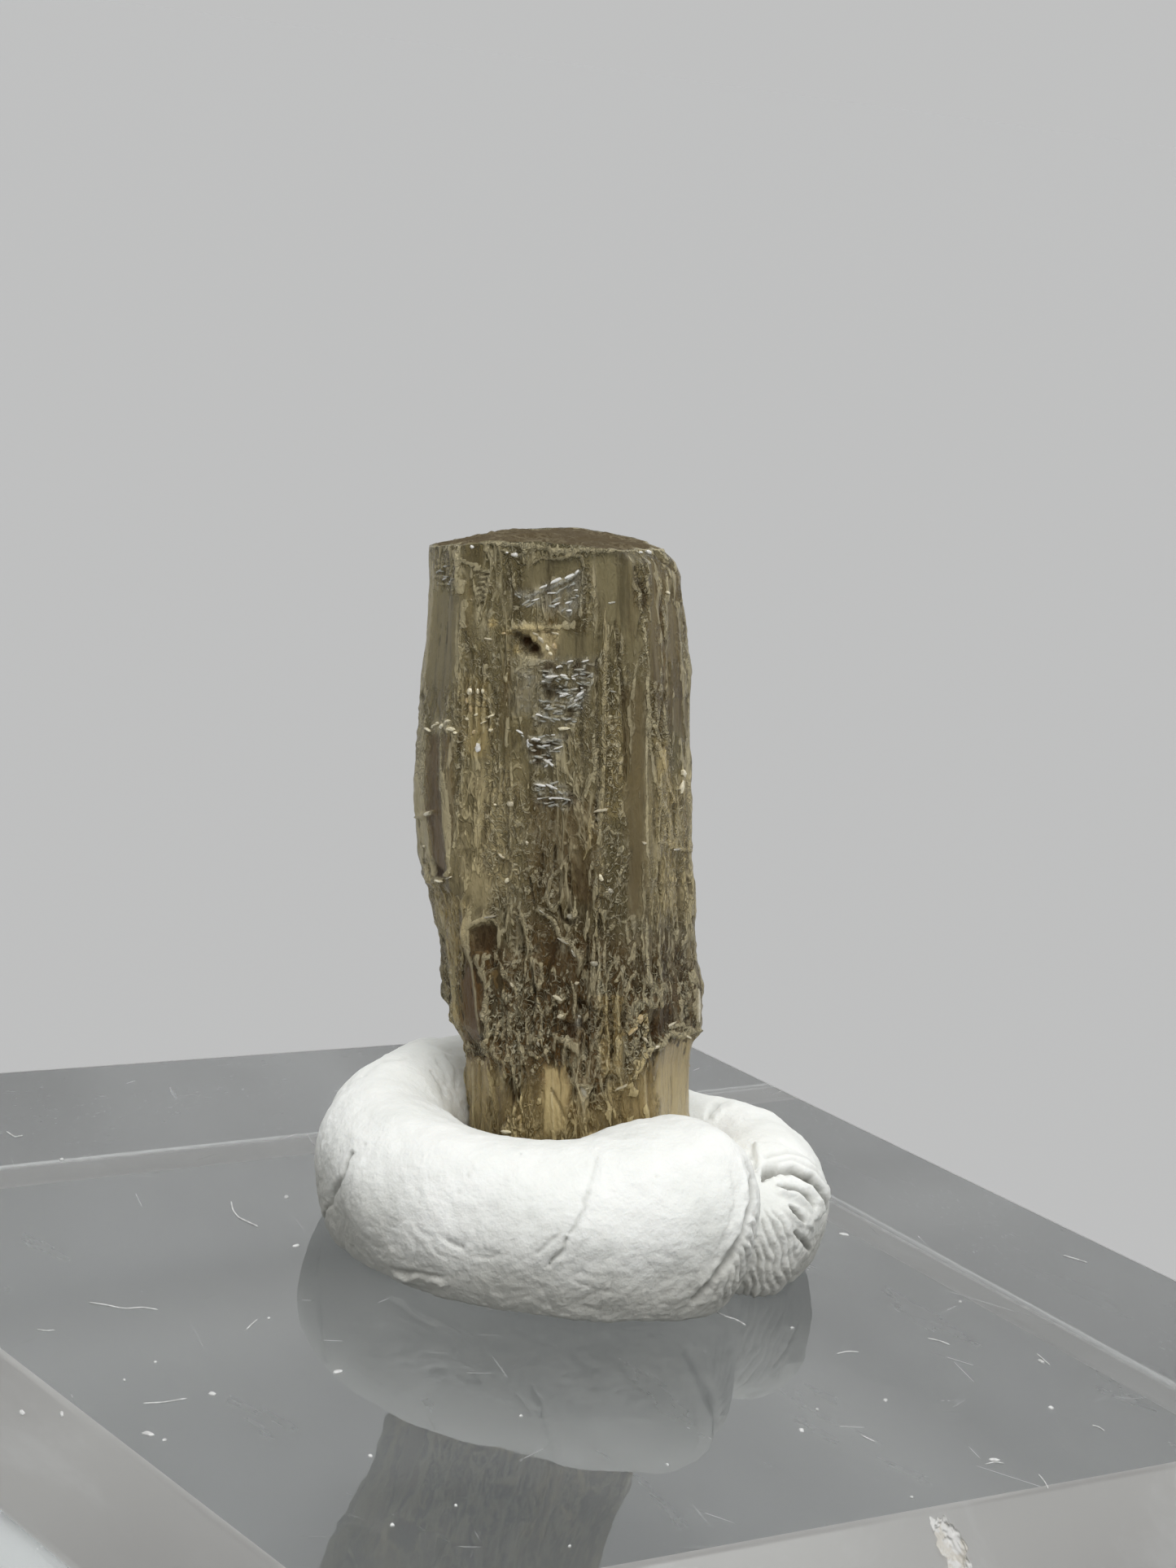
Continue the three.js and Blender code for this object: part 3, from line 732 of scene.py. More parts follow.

# Small broken flakes that stand on the stone, by pixels of the frame: (across, down, half length, half width,
# turn in degrees, kind). The kinds are white, silver-grey, cream, gold, pale tan and dull tan. The white ones
# are painted glints and the silver-grey ones painted sheen.
FLAKES = [
    (668, 720, 7.3, 1.7, -20, "W"), (683, 714, 8.7, 2.3, -22, "W"), (700, 707, 9.3, 2.7, -20, "W"),
    (710, 702, 4.7, 1.7, -40, "W"), (647, 740, 7.3, 1.7, -35, "S"), (652, 744, 6.7, 1.3, -30, "S"),
    (638, 732, 3.3, 1.0, 30, "S"), (692, 725, 10.0, 1.0, -30, "S"), (702, 740, 4.0, 1.3, -60, "S"),
    (702, 755, 3.3, 1.0, -70, "S"), (692, 750, 4.0, 1.0, -40, "S"), (580, 673, 3.0, 2.0, 45, "W"),
    (632, 682, 5.0, 3.0, 0, "W"), (623, 678, 2.0, 1.3, 0, "W"), (798, 680, 5.7, 3.0, 10, "W"),
    (788, 678, 2.7, 1.3, 0, "W"), (751, 742, 5.3, 1.3, -15, "S"), (820, 728, 3.0, 2.0, 20, "C"),
    (677, 832, 8.3, 2.0, -5, "W"), (692, 831, 5.0, 1.7, 10, "W"), (685, 836, 4.0, 1.3, 30, "S"),
    (697, 848, 6.0, 1.7, 5, "S"), (712, 840, 4.7, 1.0, 20, "S"), (723, 839, 5.3, 1.3, -20, "S"),
    (728, 831, 2.0, 3.3, 0, "S"), (718, 848, 5.3, 1.3, -10, "S"), (713, 853, 6.7, 2.0, -35, "W"),
    (708, 860, 7.3, 1.7, -35, "W"), (702, 868, 6.0, 1.3, -30, "S"), (678, 870, 6.7, 1.3, -10, "S"),
    (662, 878, 6.0, 1.3, 0, "W"), (672, 881, 6.7, 1.3, 15, "S"), (685, 885, 8.0, 1.3, 10, "S"),
    (698, 883, 4.7, 1.0, -20, "S"), (706, 888, 3.3, 1.0, 0, "S"), (693, 896, 8.3, 2.3, 0, "C"),
    (638, 898, 5.3, 1.3, 30, "W"), (642, 903, 2.7, 1.0, 45, "S"), (649, 914, 7.3, 2.3, 85, "W"),
    (658, 909, 7.3, 1.7, 5, "W"), (672, 911, 8.0, 1.3, -5, "S"), (685, 913, 6.0, 1.3, 10, "S"),
    (665, 918, 6.7, 1.7, 15, "S"), (682, 922, 7.3, 1.3, 0, "S"), (655, 923, 4.0, 1.7, 0, "S"),
    (662, 930, 6.0, 1.7, 10, "S"), (673, 935, 6.7, 2.0, 25, "W"), (657, 935, 3.3, 2.0, -40, "S"),
    (678, 940, 3.3, 1.7, 40, "W"), (665, 964, 8.7, 1.7, 8, "W"), (678, 968, 8.7, 1.7, 25, "W"),
    (688, 973, 4.0, 1.3, 35, "S"), (672, 980, 7.3, 1.0, -8, "S"), (687, 980, 10.0, 1.3, 0, "W"),
    (698, 982, 5.3, 1.0, 10, "S"), (678, 985, 7.3, 1.0, -15, "S"), (685, 990, 4.7, 1.0, 30, "S"),
    (587, 919, 6.7, 3.3, 88, "W"), (576, 850, 4.3, 2.3, 90, "C"), (587, 849, 3.7, 1.7, 85, "C"),
    (593, 850, 3.7, 1.7, 95, "C"), (574, 884, 2.2, 1.6, 40, "C"), (584, 878, 2.6, 1.6, -30, "C"),
    (602, 881, 4.0, 1.8, -18, "C"), (595, 887, 4.7, 1.0, -20, "C"), (602, 898, 2.7, 2.0, 0, "C"),
    (581, 899, 3.7, 2.3, 90, "G"), (580, 870, 5.3, 2.0, 80, "G"), (573, 862, 4.7, 1.7, 88, "G"),
    (525, 897, 6.0, 1.7, 35, "C"), (533, 893, 4.7, 1.7, -30, "C"), (543, 892, 4.0, 2.7, -30, "C"),
    (553, 897, 6.7, 3.0, 10, "C"), (548, 887, 4.0, 1.7, -30, "C"), (558, 901, 2.7, 1.7, 20, "C"),
    (537, 888, 2.0, 2.0, 0, "C"), (525, 999, 6.7, 2.7, -25, "C"), (842, 950, 5.0, 3.0, 80, "C"),
    (837, 968, 8.7, 2.3, 100, "C"), (626, 988, 4.3, 3.0, 80, "P"), (608, 990, 2.7, 1.7, 20, "C"),
    (738, 997, 10.0, 2.0, -10, "P"), (753, 850, 4.7, 1.0, 10, "S"), (600, 784, 4.7, 1.3, 10, "P"),
    (665, 787, 6.0, 2.0, 45, "P"), (672, 797, 4.7, 2.7, 60, "C"), (677, 803, 3.3, 2.0, 30, "C"),
    (658, 780, 5.3, 1.7, 20, "P"), (682, 780, 5.3, 1.7, 10, "P"), (682, 793, 4.7, 3.0, 80, "G"),
    (668, 776, 4.0, 1.3, 0, "G"), (618, 777, 2.7, 1.7, 0, "G"), (623, 1083, 4.0, 3.0, -60, "C"),
    (738, 1077, 4.7, 2.7, 60, "C"), (647, 1036, 2.7, 2.0, 80, "P"), (521, 1041, 1.7, 1.7, 0, "C"),
    (538, 1082, 7.3, 1.7, 12, "C"), (550, 1079, 6.7, 1.3, -28, "P"), (750, 1096, 4.3, 3.7, 0, "T"),
    (709, 1209, 3.3, 2.3, 0, "P"), (685, 1228, 8.0, 2.3, 25, "P"), (687, 1250, 3.3, 2.7, 0, "P"),
    (712, 1251, 4.0, 2.7, 10, "T"), (732, 1185, 4.3, 3.0, 0, "T"), (793, 1279, 5.0, 2.0, 50, "P"),
    (838, 1265, 8.7, 3.7, 15, "C"), (825, 1260, 6.7, 1.7, -20, "P"), (807, 1287, 11.3, 1.7, -20, "P"),
    (846, 1274, 4.7, 1.7, 30, "C"), (623, 1386, 6.7, 2.7, 0, "C"), (638, 1373, 4.7, 2.3, -60, "G"),
    (718, 1342, 9.0, 3.7, 65, "T"), (723, 1337, 4.0, 1.3, -20, "C"), (765, 1337, 9.3, 1.7, -28, "P"),
    (630, 1210, 4.0, 1.7, 60, "P"), (615, 1052, 5.3, 1.3, 40, "P"), (600, 1128, 8.7, 1.7, -12, "T"),
    (692, 1155, 8.7, 2.0, 30, "T"), (705, 1170, 6.7, 1.7, 60, "T"), (700, 1127, 4.0, 3.0, 0, "T"),
    (788, 1253, 6.7, 2.7, -75, "G"), (778, 1267, 8.7, 1.7, -40, "G"), (665, 1120, 5.3, 1.3, 35, "T"),
    (792, 1037, 3.3, 2.0, 20, "P"), (833, 1043, 7.3, 1.7, -5, "T"), (662, 1283, 4.0, 1.7, 70, "T"),
    (632, 1287, 3.3, 1.3, -50, "T"), (858, 1238, 26.0, 2.2, 89, "P"),
]


def crystal_relief(p, angle, z):
    """How far the grown, etched surface stands off the plain prism at points p of it, in mm, and what shows.

    Returns the height and the named masks that the material reads, each 0 to 1.
    """
    u, v, _ = to_frame(from_crystal(p))
    facing = -(turned_with_crystal(prism_outward(angle, z)) @ FORWARD)
    seen = smooth(-0.10, 0.06, facing)
    chosen = np.flatnonzero(seen > 0)
    near, cu, cv, cs = p[chosen], u[chosen], v[chosen], seen[chosen]
    reined = 0.2 + 0.8 * smooth(0.10, 0.50, facing[chosen])

    sway = p * (0.45, 0.45, 0.13)
    q = p + 0.40 * np.stack([drift(sway), drift(sway + 40), np.zeros(len(p))], axis=1)
    masks = {key: np.zeros(len(p)) for key in MASKS}
    placed, calm = np.zeros(len(p)), np.zeros(len(p))

    def show(key, amount, where=slice(None)):
        masks[key][where] = np.maximum(masks[key][where], amount)

    def mark(share, lift, marks):
        placed[chosen] += share * lift * reined
        for key, amount in marks.items():
            show(key, share * amount, chosen)

    # What is placed by pixels, with its edges made a little crooked.
    area_u, area_v = cu + 5 * drift(near * 1.3 + 50), cv + 9 * drift(near * 0.9 + 70)
    for soft, quiet, lift, marks, outline in AREAS:
        share = patch(area_u, area_v, outline, soft) * cs
        calm[chosen] = np.maximum(calm[chosen], quiet * share)
        mark(share, lift, marks)
    line_u, uneven = cu + 1.6 * drift(near * (2.4, 2.4, 1.6) + 90), 0.25 * drift(near * 2.1 + 20)
    for half_width, lift, marks, points in LINES:
        far, along = line_distance(line_u, cv, points)
        taper = tapered(half_width, along, 6, 0.55, uneven)
        mark(bell(far, np.maximum(taper, 0.6)) * cs, lift, marks)
    skew = 1 + 0.35 * drift(near * 3.1 + 33)
    for at, size, lift, marks in DOTS:
        mark(np.minimum(1, 1.4 * spot(cu, cv, at, size) * skew) * cs, lift, marks)

    # How rugged it is: smoother towards the top, deeply etched low down.
    rough = 0.62 + 0.45 * smooth(14.5, 9.5, z) + 0.30 * drift(p * (0.35, 0.35, 0.12) + 80)
    rough = np.clip(rough, 0.12, 1.15) * (1 - calm)
    etched = smooth(13.0, 8.5, z) * (1 - calm)

    # Flat strips that step up and down, long along the axis.
    height = (plates(q * (0.75, 0.75, 0.09), 21, 20.0) - 0.5) * 0.22 * (0.45 + 0.55 * rough)
    height += (plates(q * (1.7, 1.7, 0.24) + 7, 22, 17.0) - 0.5) * 0.28 * rough
    height += (plates(q * (3.0, 3.0, 0.9) + 3, 23, 13.0) - 0.5) * 0.11 * rough

    # Striae, and the crooked ridges that etching left between its hollows.
    height += 0.040 * bark(p * (3.8, 3.8, 0.14)) * (0.35 + 0.65 * rough)
    height += 0.016 * bark(q * (7.0, 7.0, 0.42) + 9) * (0.3 + 0.7 * rough)
    crooked = bell(veins(q * (1.5, 1.5, 0.36)), 0.12)
    tangled = bell(veins(q * (2.1, 2.1, 0.72) + 31), 0.15)
    height += rough * (0.050 * crooked + 0.025 * tangled) + 0.055 * etched * tangled
    show("ridge", np.clip(rough * (0.50 * crooked + 0.46 * tangled * (0.3 + 0.5 * etched)), 0, 1))
    # Pockets sink into the etched stone low down, with painted shade in them.
    pocket = smooth(0.16, 0.34, bark(q * (1.35, 1.35, 0.72) + 61)) * etched
    height -= 0.15 * pocket
    show("dark", 0.22 * pocket)

    # Short curls: in grainy bands higher up, and nearly everywhere low down.
    grainy = smooth(-0.12, 0.12, drift(q * (0.9, 0.9, 0.30) + 140)) * smooth(9.0, 13.5, z)
    low_curls = 0.55 + 0.45 * smooth(-0.2, 0.2, drift(q * (0.8, 0.8, 0.3) + 150))
    low_curls *= smooth(13.0, 10.0, z) * smooth(6.2, 7.4, z)
    show("curly", np.maximum(0.75 * grainy, 0.90 * low_curls) * (1 - calm))
    curl = bell(veins(q * (2.2, 2.2, 1.5) + 77), 0.16)
    height += 0.055 * masks["curly"] * (curl - 0.4)
    show("ridge", 0.66 * masks["curly"] * curl)

    # Pale along the prism's edges, where its sides turn away from view: painted rim light.
    worn_edge = prism_edges(angle, z) * np.clip(0.75 + 0.9 * drift(p * (1.2, 1.2, 0.7) + 120), 0.1, 1)
    worn_edge *= smooth(6.5, 8.5, z)
    show("ridge", 0.95 * worn_edge)
    show("cream", 0.32 * worn_edge)

    # Short ripples that lie across the face in patches, with painted sheen on their crests and painted shade
    # between them.
    worn = masks["worn"]
    crest = bell(veins(q * (1.5, 1.5, 5.2) + 55), 0.13)
    height += worn * 0.09 * crest
    show("dark", 0.80 * worn * (1 - crest) * smooth(-0.25, 0.25, drift(q * 1.6 + 15)))
    silver = masks["silver"] * (1 - 0.7 * worn * (1 - crest)) + 0.5 * worn * crest * seen
    masks["silver"] = np.clip(silver, 0, 1)
    return height + placed, masks


def blurred(grid, across, along):
    """The grid averaged over its neighbours; its columns close on themselves."""
    total = sum(np.roll(grid, k, axis=1) for k in range(-across, across + 1)) / (2 * across + 1)
    padded = np.pad(total, ((along, along), (0, 0)), mode="edge")
    return sum(padded[k:k + len(grid)] for k in range(2 * along + 1)) / (2 * along + 1)


def broken_top(rim):
    """Rings of points from the rim in to the middle of the broken top, and where its pits are."""
    shrinks = [(1 - k / CAP_RINGS) ** CAP_CROWDING for k in range(1, CAP_RINGS)]
    top = np.concatenate([rim * (shrink, shrink, 1.0) for shrink in shrinks])
    flat = top * (1.0, 1.0, 0.0)
    pits = bell(veins(flat * 1.9 + 60), 0.16)
    steps = (plates(flat * (0.55, 0.9, 1.0) + 5, 31, 16.0) - 0.5) * 0.22
    top[:, 2] = crystal_top(top[:, 0], top[:, 1]) + (steps - 0.07 * pits + 0.05 * grit(flat * 3.1))
    return top, pits


def build_crystal(material):
    angle, part = (grid.ravel() for grid in np.meshgrid(ANGLES, PARTS))
    radius = prism_radius(angle, part * CRYSTAL_TOP)
    x, y = radius * np.sin(angle), -radius * np.cos(angle)
    foot = crystal_foot(x)
    level = foot + (crystal_top(x, y) - foot) * part
    height, masks = crystal_relief(np.stack([x, y, level], axis=1), angle, level)

    # What stands proud of its neighbours is a pale rim, and what lies lower gets painted shade.
    grid = height.reshape(len(PARTS), CRYSTAL_COLUMNS)
    proud = (grid - blurred(grid, 3, 4) + 0.5 * (grid - blurred(grid, 8, 9))).ravel()
    crests = (proud - 0.010 - 0.026 * smooth(12.5, 9.5, level)) / 0.050
    masks["ridge"] = np.maximum(masks["ridge"], np.clip(crests, 0, 1) * 0.9)
    masks["hollow_shade"] = np.clip((-proud - 0.004) / 0.045, 0, 1)
    masks["top"] = np.zeros(len(level))

    radius = radius + height
    side = np.stack([radius * np.sin(angle), -radius * np.cos(angle), level], axis=1)
    top, pits = broken_top(side[-CRYSTAL_COLUMNS:])
    points = np.concatenate([side, top, [[0.0, 0.0, crystal_top(0, 0)], [0.0, 0.0, crystal_foot(0)]]])
    top_masks = {"ridge": 0.25 * pits, "top": np.ones(len(top))}
    values = {"own": points}
    for key, mask in masks.items():
        ends = [float(key == "top"), 0.0]
        values[key] = np.concatenate([mask, top_masks.get(key, np.zeros(len(top))), ends])

    rows = len(PARTS) + CAP_RINGS - 1
    hub, sole_hub = len(points) - 2, len(points) - 1
    faces = tube_faces(rows, CRYSTAL_COLUMNS)
    faces += fan(hub, hub - CRYSTAL_COLUMNS, CRYSTAL_COLUMNS)
    faces += fan(sole_hub, 0, CRYSTAL_COLUMNS, turned=True)
    obj = add_mesh("scapolite_crystal", from_crystal(points), faces, material, values)
    return obj, radius.reshape(len(PARTS), CRYSTAL_COLUMNS)


def crystal_material():
    m = Nodes("scapolite")
    own = m.attribute("own", "Vector")
    mask = {key: m.attribute(key) for key in MASKS + ("top",)}
    up = m.level(own)
    rugged = m.ramp(up, 15.0, 9.0)

    def grown(stretch, scale, *shape):
        """Noise for marks that run along the crystal, longer for a smaller stretch."""
        return m.noise(m.mapped(own, Scale=(1.0, 1.0, stretch)), scale, *shape)

    def threads(scale, stretch, width, warp):
        """Thin crooked threads of paler stone and the grooves along each side of them, finer than the mesh;
        the grooves take painted shadow.
        """
        far = abs(grown(stretch, scale, 1.0, 0.5, warp) - 0.5)
        beside = m.ramp(far, 0.8 * width, 1.6 * width) * m.ramp(far, 1.6 * width, 3.2 * width, 1.0, 0.0)
        return m.ramp(far, 0.0, width, 1.0, 0.0), beside

    # The masks, with ragged edges finer than the mesh.
    foot = m.ramp(up + (grown(0.15, 0.8) - 0.5) * 6.0, 7.7, 6.4)
    stray = (grown(0.45, 6.5, 2.0, 0.55) - 0.5) * 1.1
    ridge = m.ramp(mask["ridge"] + stray, 0.40, 0.62)
    sunk_shade = m.ramp(mask["hollow_shade"] + stray, 0.36, 0.62)

    quiet = 1.0 - m.most(mask["clear"], mask["top"] * 0.8)
    share = quiet * m.ramp(grown(0.3, 0.8), 0.42, 0.60, 0.16, 1.0) * m.blend(mask["curly"], 1.0, 0.35)
    thread = shaded_groove = 0.0
    for scale, stretch, width, warp, amount in (
        (1.5, 0.20, 0.062, 0.5, 0.95),
        (2.5, 0.42, 0.075, 0.9, 0.85),
        (2.2, 0.50, 0.068, 1.1, m.blend(rugged, 0.45, 0.95)),
    ):
        crest, beside = threads(scale, stretch, width, warp)
        thread, shaded_groove = m.most(crest * amount, thread), m.most(beside * amount, shaded_groove)
    curl, beside = threads(2.7, 0.66, 0.065, 1.9)
    curly = mask["curly"] * quiet
    curl = curl * curly
    thread = m.most(thread * share, curl)
    # The grooves beside threads and curls carry painted shadow.
    shaded_groove = m.most(shaded_groove * share, beside * curly * 0.90) * (1.0 - thread)
    rim = m.most(thread, ridge * 0.95)
    pits = m.ramp(grown(0.6, 2.8, 2.0, 0.6, 0.9), 0.57, 0.66) * m.blend(rugged, 0.30, 0.36) * quiet
    # Painted shade in the hollows, the pits and the grooves beside the threads, less of it at the foot.
    hollow_shade = m.most(sunk_shade, pits * 0.75, shaded_groove * 0.70) * m.blend(rugged, 0.60, 0.95) * m.blend(foot, 1.0, 0.34)

    # The colour, one coat over another.
    flecks = m.ramp(grown(0.3, 5.0, 3.0, 0.6), 0.36, 0.62, 0.55, 1.0)
    body = m.mix(m.ramp(up, 8.5, 16.5), BODY_LOW, BODY_HIGH)
    for share, colour in (
        # the foot's tan, partly painted light against the putty ring's shadow
        (foot, FOOT_TAN_AND_PAINTED_LIGHT),
        (m.ramp(grown(0.16, 0.55, 4.0, 0.6), 0.45, 0.70) * m.blend(rugged, 1.0, 0.25), BODY_PALE),
        (mask["milky"] * 0.35, BODY_PALE),
        (m.ramp(grown(0.12, 2.6, 4.0, 0.6), 0.50, 0.34, 0.0, 0.55), BODY_DARK_AND_SHADE),
        (m.ramp(grown(0.2, 0.9, 3.0, 0.6), 0.60, 0.76) * quiet * 0.5, RUST),
        (mask["brown"], BROWN),
        # the broken top's near-black: painted shade
        (mask["top"], TOP_FACE_SHADE),
        (mask["gold"] * flecks, GOLD),
        (mask["cream"] * flecks, CREAM),
        # painted shade in the hollows
        (hollow_shade, BODY_DARK_AND_SHADE),
        (rim * 0.85, m.mix(m.most(mask["gold"], foot * 0.6), RIM, RIM_GOLD)),
        (curl * 0.50, CURL),
        # the silvery tone: painted reflection
        (mask["silver"] * flecks, SILVER_SHEEN),
        # near-black where the stone sinks in, in crevices, pits and dark windows: painted shade
        (mask["dark"], RECESS_SHADE),
    ):
        body = m.mix(share, body, colour)

    dull = m.most(mask["dark"], mask["brown"] * 0.7, mask["milky"])
    roughness = m.blend(rim, m.blend(mask["clear"], 0.15, 0.20), 0.14)
    for share, amount in ((mask["silver"], 0.16), (dull, 0.45), (mask["top"], 0.95)):
        roughness = m.blend(share, roughness, amount)
    through = m.blend(rim, m.blend(mask["clear"], 0.88, 0.96), 0.45)
    for share, amount in (
        (mask["milky"], 0.72), (hollow_shade, 0.15), (mask["gold"], 0.35), (mask["cream"], 0.20),
        (mask["silver"], 0.40), (mask["dark"], 0.0), (mask["top"], 0.05),
    ):
        through = m.blend(share, through, amount)
    m.set(Base_Color=body, Roughness=roughness, Transmission_Weight=through,
          IOR=STONE_IOR, Specular_IOR_Level=0.18, Specular_Tint=(0.55, 0.51, 0.42))
    grain = grown(0.3, 9.0, 3.0, 0.6)
    m.bump(thread + ridge * 0.6 + grain * 0.7 - (pits + shaded_groove * 0.5), 0.00010)
    m.absorb((0.62, 0.50, 0.22), 290.0)
    return m.material


class Skin:
    """Finds the place on the crystal's seen side that a pixel of the frame shows."""

    LOWEST, PAST_TOP, TURNED_ENOUGH = 3, 0.2, -0.06

    def __init__(self, obj):
        p, normal = read_mesh(obj.data)
        own = to_crystal(p)
        level = own * (1.0, 1.0, 0.0)
        level /= np.maximum(np.linalg.norm(level, axis=1, keepdims=True), 1e-6)
        outward = 0.70 * normal + 0.30 * turned_with_crystal(level)
        outward /= np.linalg.norm(outward, axis=1, keepdims=True)
        z = own[:, 2]
        keep = (outward @ FORWARD < self.TURNED_ENOUGH) & (z > self.LOWEST)
        keep &= z < CRYSTAL_TOP + self.PAST_TOP
        self.p, self.outward = p[keep], outward[keep]
        self.u, self.v, _ = to_frame(self.p)

    def at(self, u, v):
        nearest = np.argmin((self.u - u) ** 2 + (self.v - v) ** 2)
        return self.p[nearest], self.outward[nearest]


# Where many more small silver-grey and white flakes lie, painted sheen and glints: how many, and the outline.
FLAKE_CROWDS = [
    (16, [(642, 732), (714, 704), (712, 742), (694, 756), (664, 746)]),
    (46, [(668, 824), (702, 812), (730, 814), (728, 838), (718, 854), (716, 870), (692, 884), (656, 894),
          (664, 862)]),
    (16, [(646, 902), (694, 898), (684, 924), (674, 942), (652, 936)]),
    (14, [(656, 958), (688, 962), (706, 984), (690, 996), (662, 988)]),
    (8, [(536, 694), (558, 696), (556, 720), (536, 718)]),
]
FLAKE_SIDES = 9


def crowded_flakes():
    rng = np.random.default_rng(64)
    made = []
    for count, outline in FLAKE_CROWDS:
        low, high = np.min(outline, axis=0), np.max(outline, axis=0)
        while count:
            at = rng.uniform(low, high)
            size = rng.uniform(2.4, 7.0), rng.uniform(0.9, 1.7), rng.normal(-6, 20)
            if patch(at[:1], at[1:], outline, 1.0)[0] > 0.5:
                made.append((at[0], at[1], *size, "S" if rng.random() < 0.76 else "W"))
                count -= 1
    return made


def build_flakes(name, foothold, table, kinds, material, seed, flattest=0.35):
    """Low angular flakes that stand where foothold puts them, each with its own outline.

    Only those of the given kinds are built, and the first kind has the tone 1.
    """
    rng = np.random.default_rng(seed)
    points, faces, tones = [], [], []
    for u, v, half_length, half_width, turn, kind in table:
        if kind not in kinds:
            continue
        half_width = max(half_width, 1.0)
        at, outward = foothold(u, v)
        per_mm = FOCAL / ((at - CAMERA_AT) @ FORWARD)
        slope = min(outward @ FORWARD, -flattest)
        cos, sin = math.cos(math.radians(turn)), math.sin(math.radians(turn))
        ways = []
        for a, b, size in ((cos, sin, half_length), (-sin, cos, half_width)):
            way = a * RIGHT + b * DOWN
            way = way - FORWARD * (way @ outward) / slope
            ways.append((way - outward * (way @ outward)) * size / per_mm)
        tall = 0.030 + 0.35 * half_width / per_mm
        around = TAU * (np.arange(FLAKE_SIDES) + rng.uniform(-0.32, 0.32, FLAKE_SIDES)) / FLAKE_SIDES
        reach = rng.uniform(0.72, 1.12, FLAKE_SIDES)
        crown = rng.uniform(0.30, 0.62, FLAKE_SIDES)
        start = len(points)
        for scale, rise in ((1.05 * reach, -0.07), (reach, 0.35 * tall), (reach * crown, tall)):
            for angle, out in zip(around, scale):
                level = math.cos(angle) * ways[0] + math.sin(angle) * ways[1]
                points.append(at + out * level + rise * outward)
        points.append(at + outward * tall * rng.uniform(0.85, 1.2))
        tip = len(points) - 1
        faces += tube_faces(3, FLAKE_SIDES, start) + fan(tip, tip - FLAKE_SIDES, FLAKE_SIDES)
        faces.append(tuple(reversed(range(start, start + FLAKE_SIDES))))
        tones += [float(kind == kinds[0])] * (tip + 1 - start)
    return add_mesh(name, points, faces, material, {"tone": tones}, shade_smooth=False)


def flake_material(name, low, high, through):
    m = Nodes(name)
    place = m.place()
    mottle = m.noise(place, 5200.0, 3.0, 0.6)
    colour = m.mix(m.attribute("tone"), low, high)
    colour = m.mix(m.ramp(mottle, 0.62, 0.40, 0.0, 0.35), colour, FLAKE_STAIN)
    m.set(Base_Color=colour, Roughness=m.ramp(mottle, 0.3, 0.7, 0.16, 0.34), IOR=STONE_IOR,
          Transmission_Weight=through)
    m.bump(m.noise(place, 9000.0, 2.0, 0.5), 0.00002, 0.6)
    return m.material


BLADE_SIDES = 5
# The crowds of blades that show: from and to across, from and to down, by pixels of the frame, and how many.
BLADE_CROWDS = [(566, 604, 836, 936, 22), (806, 826, 915, 985, 6), (560, 640, 960, 1110, 10)]
SCATTERED_BLADES = 90


def add_blade(points, faces, centre, way, across, half_length, half_width, half_depth):
    """A thin blade that tapers to both ends, across not needing to be of length 1."""
    across = across / np.linalg.norm(across)
    deep = np.cross(way, across)
    start = len(points)
    for along, wide in ((-0.55, 0.75), (0.0, 1.0), (0.6, 0.7)):
        for t in TAU * np.arange(BLADE_SIDES) / BLADE_SIDES:
            out = math.cos(t) * half_width * across + math.sin(t) * half_depth * deep
            points.append(centre + way * along * half_length + wide * out)
    points += [centre - way * half_length, centre + way * half_length]
    low_tip = start + 3 * BLADE_SIDES
    faces += tube_faces(3, BLADE_SIDES, start)
    faces += fan(low_tip, start, BLADE_SIDES, turned=True)
    faces += fan(low_tip + 1, low_tip - BLADE_SIDES, BLADE_SIDES)


def build_blades(skin, material):
    """Golden-brown blades sealed in the stone: crowds under its front, and others all through it."""
    rng = np.random.default_rng(51)
    points, faces = [], []
    axis = turned_with_crystal(UP)
    for u0, u1, v0, v1, count in BLADE_CROWDS:
        for _ in range(count):
            at, outward = skin.at(rng.uniform(u0, u1), rng.uniform(v0, v1))
            add_blade(points, faces, at - outward * rng.uniform(0.30, 0.65), axis, np.cross(axis, outward),
                      rng.uniform(0.12, 0.45), rng.uniform(0.03, 0.06), 0.02)
    for _ in range(SCATTERED_BLADES):
        angle, z = rng.uniform(0, TAU), rng.uniform(2.0, 23.0)
        far = prism_radius(np.array([angle]), np.array([z]))[0] * rng.uniform(0.1, 0.82)
        at = from_crystal(np.array([far * math.sin(angle), -far * math.cos(angle), z]))
        way = axis + rng.normal(size=3) * 0.10
        way /= np.linalg.norm(way)
        add_blade(points, faces, at, way, np.cross(way, rng.normal(size=3)),
                  rng.uniform(0.25, 1.3), rng.uniform(0.025, 0.07), 0.018)
    return add_mesh("sealed_blades", points, faces, material, shade_smooth=False)


def blade_material():
    m = Nodes("sealed_blade")
    mottle = m.noise(m.place(), 1800.0, 2.0, 0.5)
    m.set(Base_Color=m.mix(m.ramp(mottle, 0.4, 0.65), (0.50, 0.30, 0.09), (0.16, 0.10, 0.04)),
          Roughness=m.ramp(mottle, 0.3, 0.7, 0.25, 0.5), IOR=STONE_IOR)
    m.bump(mottle, 0.00001, 0.5)
    return m.material


